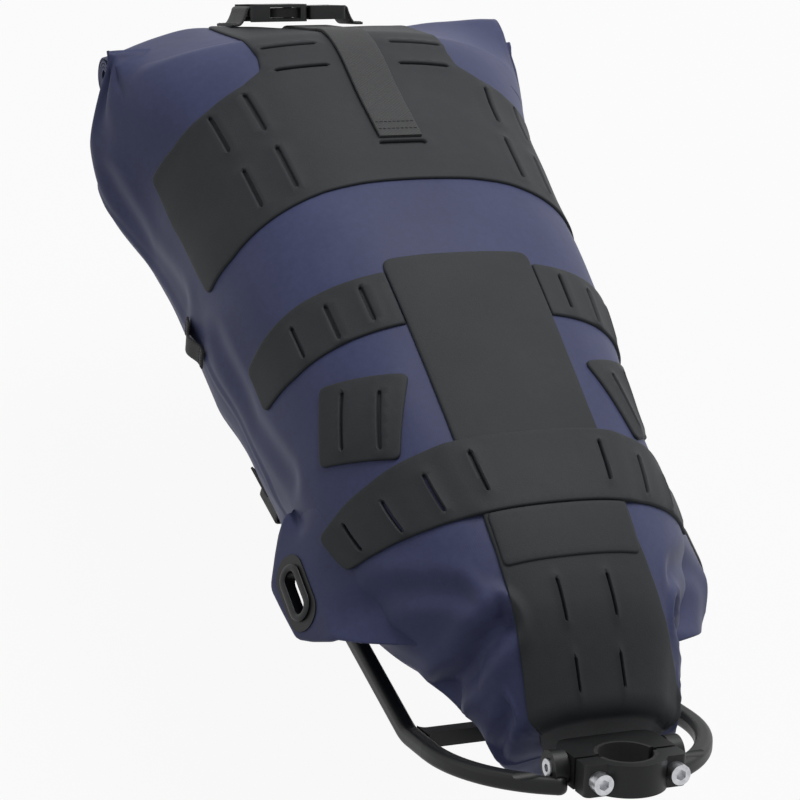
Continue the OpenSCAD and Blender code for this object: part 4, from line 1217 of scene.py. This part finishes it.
webbing_tab(1, "left", "buckle_plug")
webbing_tab(-1, "right", "bag")


# Sleeves that hold the bracket's arms, which rest on the belly between two reaches
ARM_Y, ARM_HALF = 71.5, 4.5
REST_FRONT, REST_REAR = 155.0, 285.0
SLEEVE_W, SLEEVE_T = 26, 1.4
SLEEVE_HALF = ARM_HALF + 0.5


def belly_z(reach, y):
    """Height of the plain form's belly at a distance from the middle plane."""
    half = section(reach, HEIGHT) / 2
    return section(reach, CROWN) - half - half * arch(reach, y)[1]


def make_keepers():
    front, rear = (belly_z(r, ARM_Y - ARM_HALF) - 1.8 - ARM_HALF for r in (REST_FRONT, REST_REAR))
    slope = (front - rear) / (REST_REAR - REST_FRONT)
    along = np.array([-1, 0, -slope])
    along /= np.linalg.norm(along)
    inner, outer = ARM_Y - SLEEVE_HALF, ARM_Y + SLEEVE_HALF

    def arm_z(r):
        return front - slope * (r - REST_FRONT)

    def sewn(reach, y):
        """Point of a sleeve below the belly, clear of it at both edges."""
        ends = (reach - SLEEVE_W / 2, reach + SLEEVE_W / 2)
        return y, arm_z(reach) + (min(belly_z(r, y) - arm_z(r) for r in ends) - 0.6)

    pieces, rows = [], []
    for sign, tag in SIDES:
        across = along * -sign
        for k, reach in enumerate((185.0, 265.0)):
            low = arm_z(reach) - 4.9
            pts = [sewn(reach, inner - d) for d in (11, 5, 0.5)] + [(inner, low), (outer, low)]
            pts += [sewn(reach, outer + d) for d in (0.5, 5, 11)]
            loop = relax(resample(np.array(pts), 0.9), 2)
            path = np.stack([np.full(len(loop), -reach), sign * loop[:, 0], loop[:, 1]], -1)
            name = "arm_sleeve_%s_%d" % (tag, k + 1)
            pieces.append(ribbon(name, path, across, SLEEVE_W, SLEEVE_T, WEBBING, []))
            rows += [tack(path, across, at, 11.5, SLEEVE_T) for at in (2, 8, -9, -3)]
    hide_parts("arm_keepers")
    stitches("arm_sleeve_thread", rows, "bag", gap=3.4, length=2.5)


make_keepers()

# Rigid pieces keep their CAD shape, with softened edges
FINISH = [
    (BOARD, 0, ["base_board"]),
    (EYELET, 0.5, ["eyelet_left", "eyelet_right"]),
    (PLASTIC, 0.4, ["eyelet_ring_left", "eyelet_ring_right", "buckle_prong_front", "buckle_prong_rear"]),
    (PLASTIC, 0.8, ["buckle_socket"]),
    (PLASTIC, 0.7, ["buckle_plug"]),
    (BRACKET, 0.5, ["bracket_arm_left", "bracket_arm_right"]),
    (BRACKET, 0.8, ["bracket_crossbar"]),
    (BRACKET, 0.6, ["clamp_block", "clamp_cap"]),
    (RUBBER, 0.2, ["clamp_liner_rear", "clamp_liner_front"]),
    (STEEL, 0.35, ["clamp_bolt_left", "clamp_bolt_right"]),
    (STEEL, 0.3, ["pivot_bolt_left", "pivot_bolt_right"]),
]
for material, edge, names in FINISH:
    for name in names:
        obj = nodes[name]
        obj.data.materials.clear()
        obj.data.materials.append(material)
        if edge:
            soft = obj.modifiers.new("edges", "BEVEL")
            soft.width = edge * MM
            soft.segments = 3
            soft.limit_method = "ANGLE"
            soft.angle_limit = math.radians(40)

# Stage

FLOOR_HALF = 6.0
# Room below for the bag at the low end of its pitch
FLOOR_DROP = 0.1
# How white the floor is to the camera, and how strongly the world lights the part
FLOOR_WHITE = 0.93
WORLD_LIGHT = 0.24

floor_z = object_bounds()[0][2] - FLOOR_DROP
corners = [(x * FLOOR_HALF, y * FLOOR_HALF, floor_z) for x, y in ((-1, -1), (1, -1), (1, 1), (-1, 1))]
floor_mesh = bpy.data.meshes.new("floor")
floor_mesh.from_pydata(corners, [], [(0, 1, 2, 3)])
floor = bpy.data.objects.new("floor", floor_mesh)
scene.collection.objects.link(floor)


def floor_material():
    mat = bpy.data.materials.new("pale_floor")
    t = Tree(mat)
    t.tree.nodes.clear()
    pale = t.add("ShaderNodeBsdfDiffuse", Color=(0.55, 0.55, 0.56, 1))
    white = t.add("ShaderNodeEmission", Color=(1, 1, 1, 1))
    mix = t.add("ShaderNodeMixShader")
    t.link(t.math("MULTIPLY", t.seen(), FLOOR_WHITE), mix.inputs[0])
    t.link(pale.outputs[0], mix.inputs[1])
    t.link(white.outputs[0], mix.inputs[2])
    t.link(mix.outputs[0], t.add("ShaderNodeOutputMaterial").inputs["Surface"])
    return mat


floor_mesh.materials.append(floor_material())

scene.world = bpy.data.worlds.new("studio")
sky = Tree(scene.world)
sky.tree.nodes.clear()
light = sky.add("ShaderNodeBackground", Color=(1, 1, 1, 1))
sky.link(sky.range(sky.seen(), WORLD_LIGHT, 1.0), light.inputs["Strength"])
sky.link(light.outputs[0], sky.add("ShaderNodeOutputWorld").inputs["Surface"])


def area(name, position, target, size, power):
    lamp = bpy.data.lights.new(name, "AREA")
    lamp.shape = "RECTANGLE"
    lamp.size, lamp.size_y = size
    lamp.energy = power
    obj = bpy.data.objects.new(name, lamp)
    obj.location = position
    aim = Vector(target) - Vector(position)
    obj.rotation_euler = aim.to_track_quat("-Z", "Y").to_euler()
    scene.collection.objects.link(obj)


middle = (-0.27, 0.0, -0.03)
area("key", (-1.1, 0.5, 1.75), middle, (1.2, 1.0), 28)
area("fill", (-0.5, -1.7, 0.35), middle, (1.2, 0.8), 2.4)
area("rim", (-0.9, 1.5, 0.6), middle, (1.0, 0.8), 2.5)

scene.view_settings.view_transform = "Standard"

camera_data = bpy.data.cameras.new("camera")
camera_data.lens = 130.1
camera_data.sensor_width = 36
camera_data.clip_end = 20
camera = bpy.data.objects.new("camera", camera_data)
scene.collection.objects.link(camera)
right = Vector((0.30872, 0.91844, 0.24729))
up = Vector((-0.73816, 0.06740, 0.67124))
back = Vector((0.59982, -0.38977, 0.69877))
turn = Matrix((right, up, back)).transposed()
camera.matrix_world = Matrix.Translation((0.6655, -0.6253, 1.0563)) @ turn.to_4x4()
scene.camera = camera
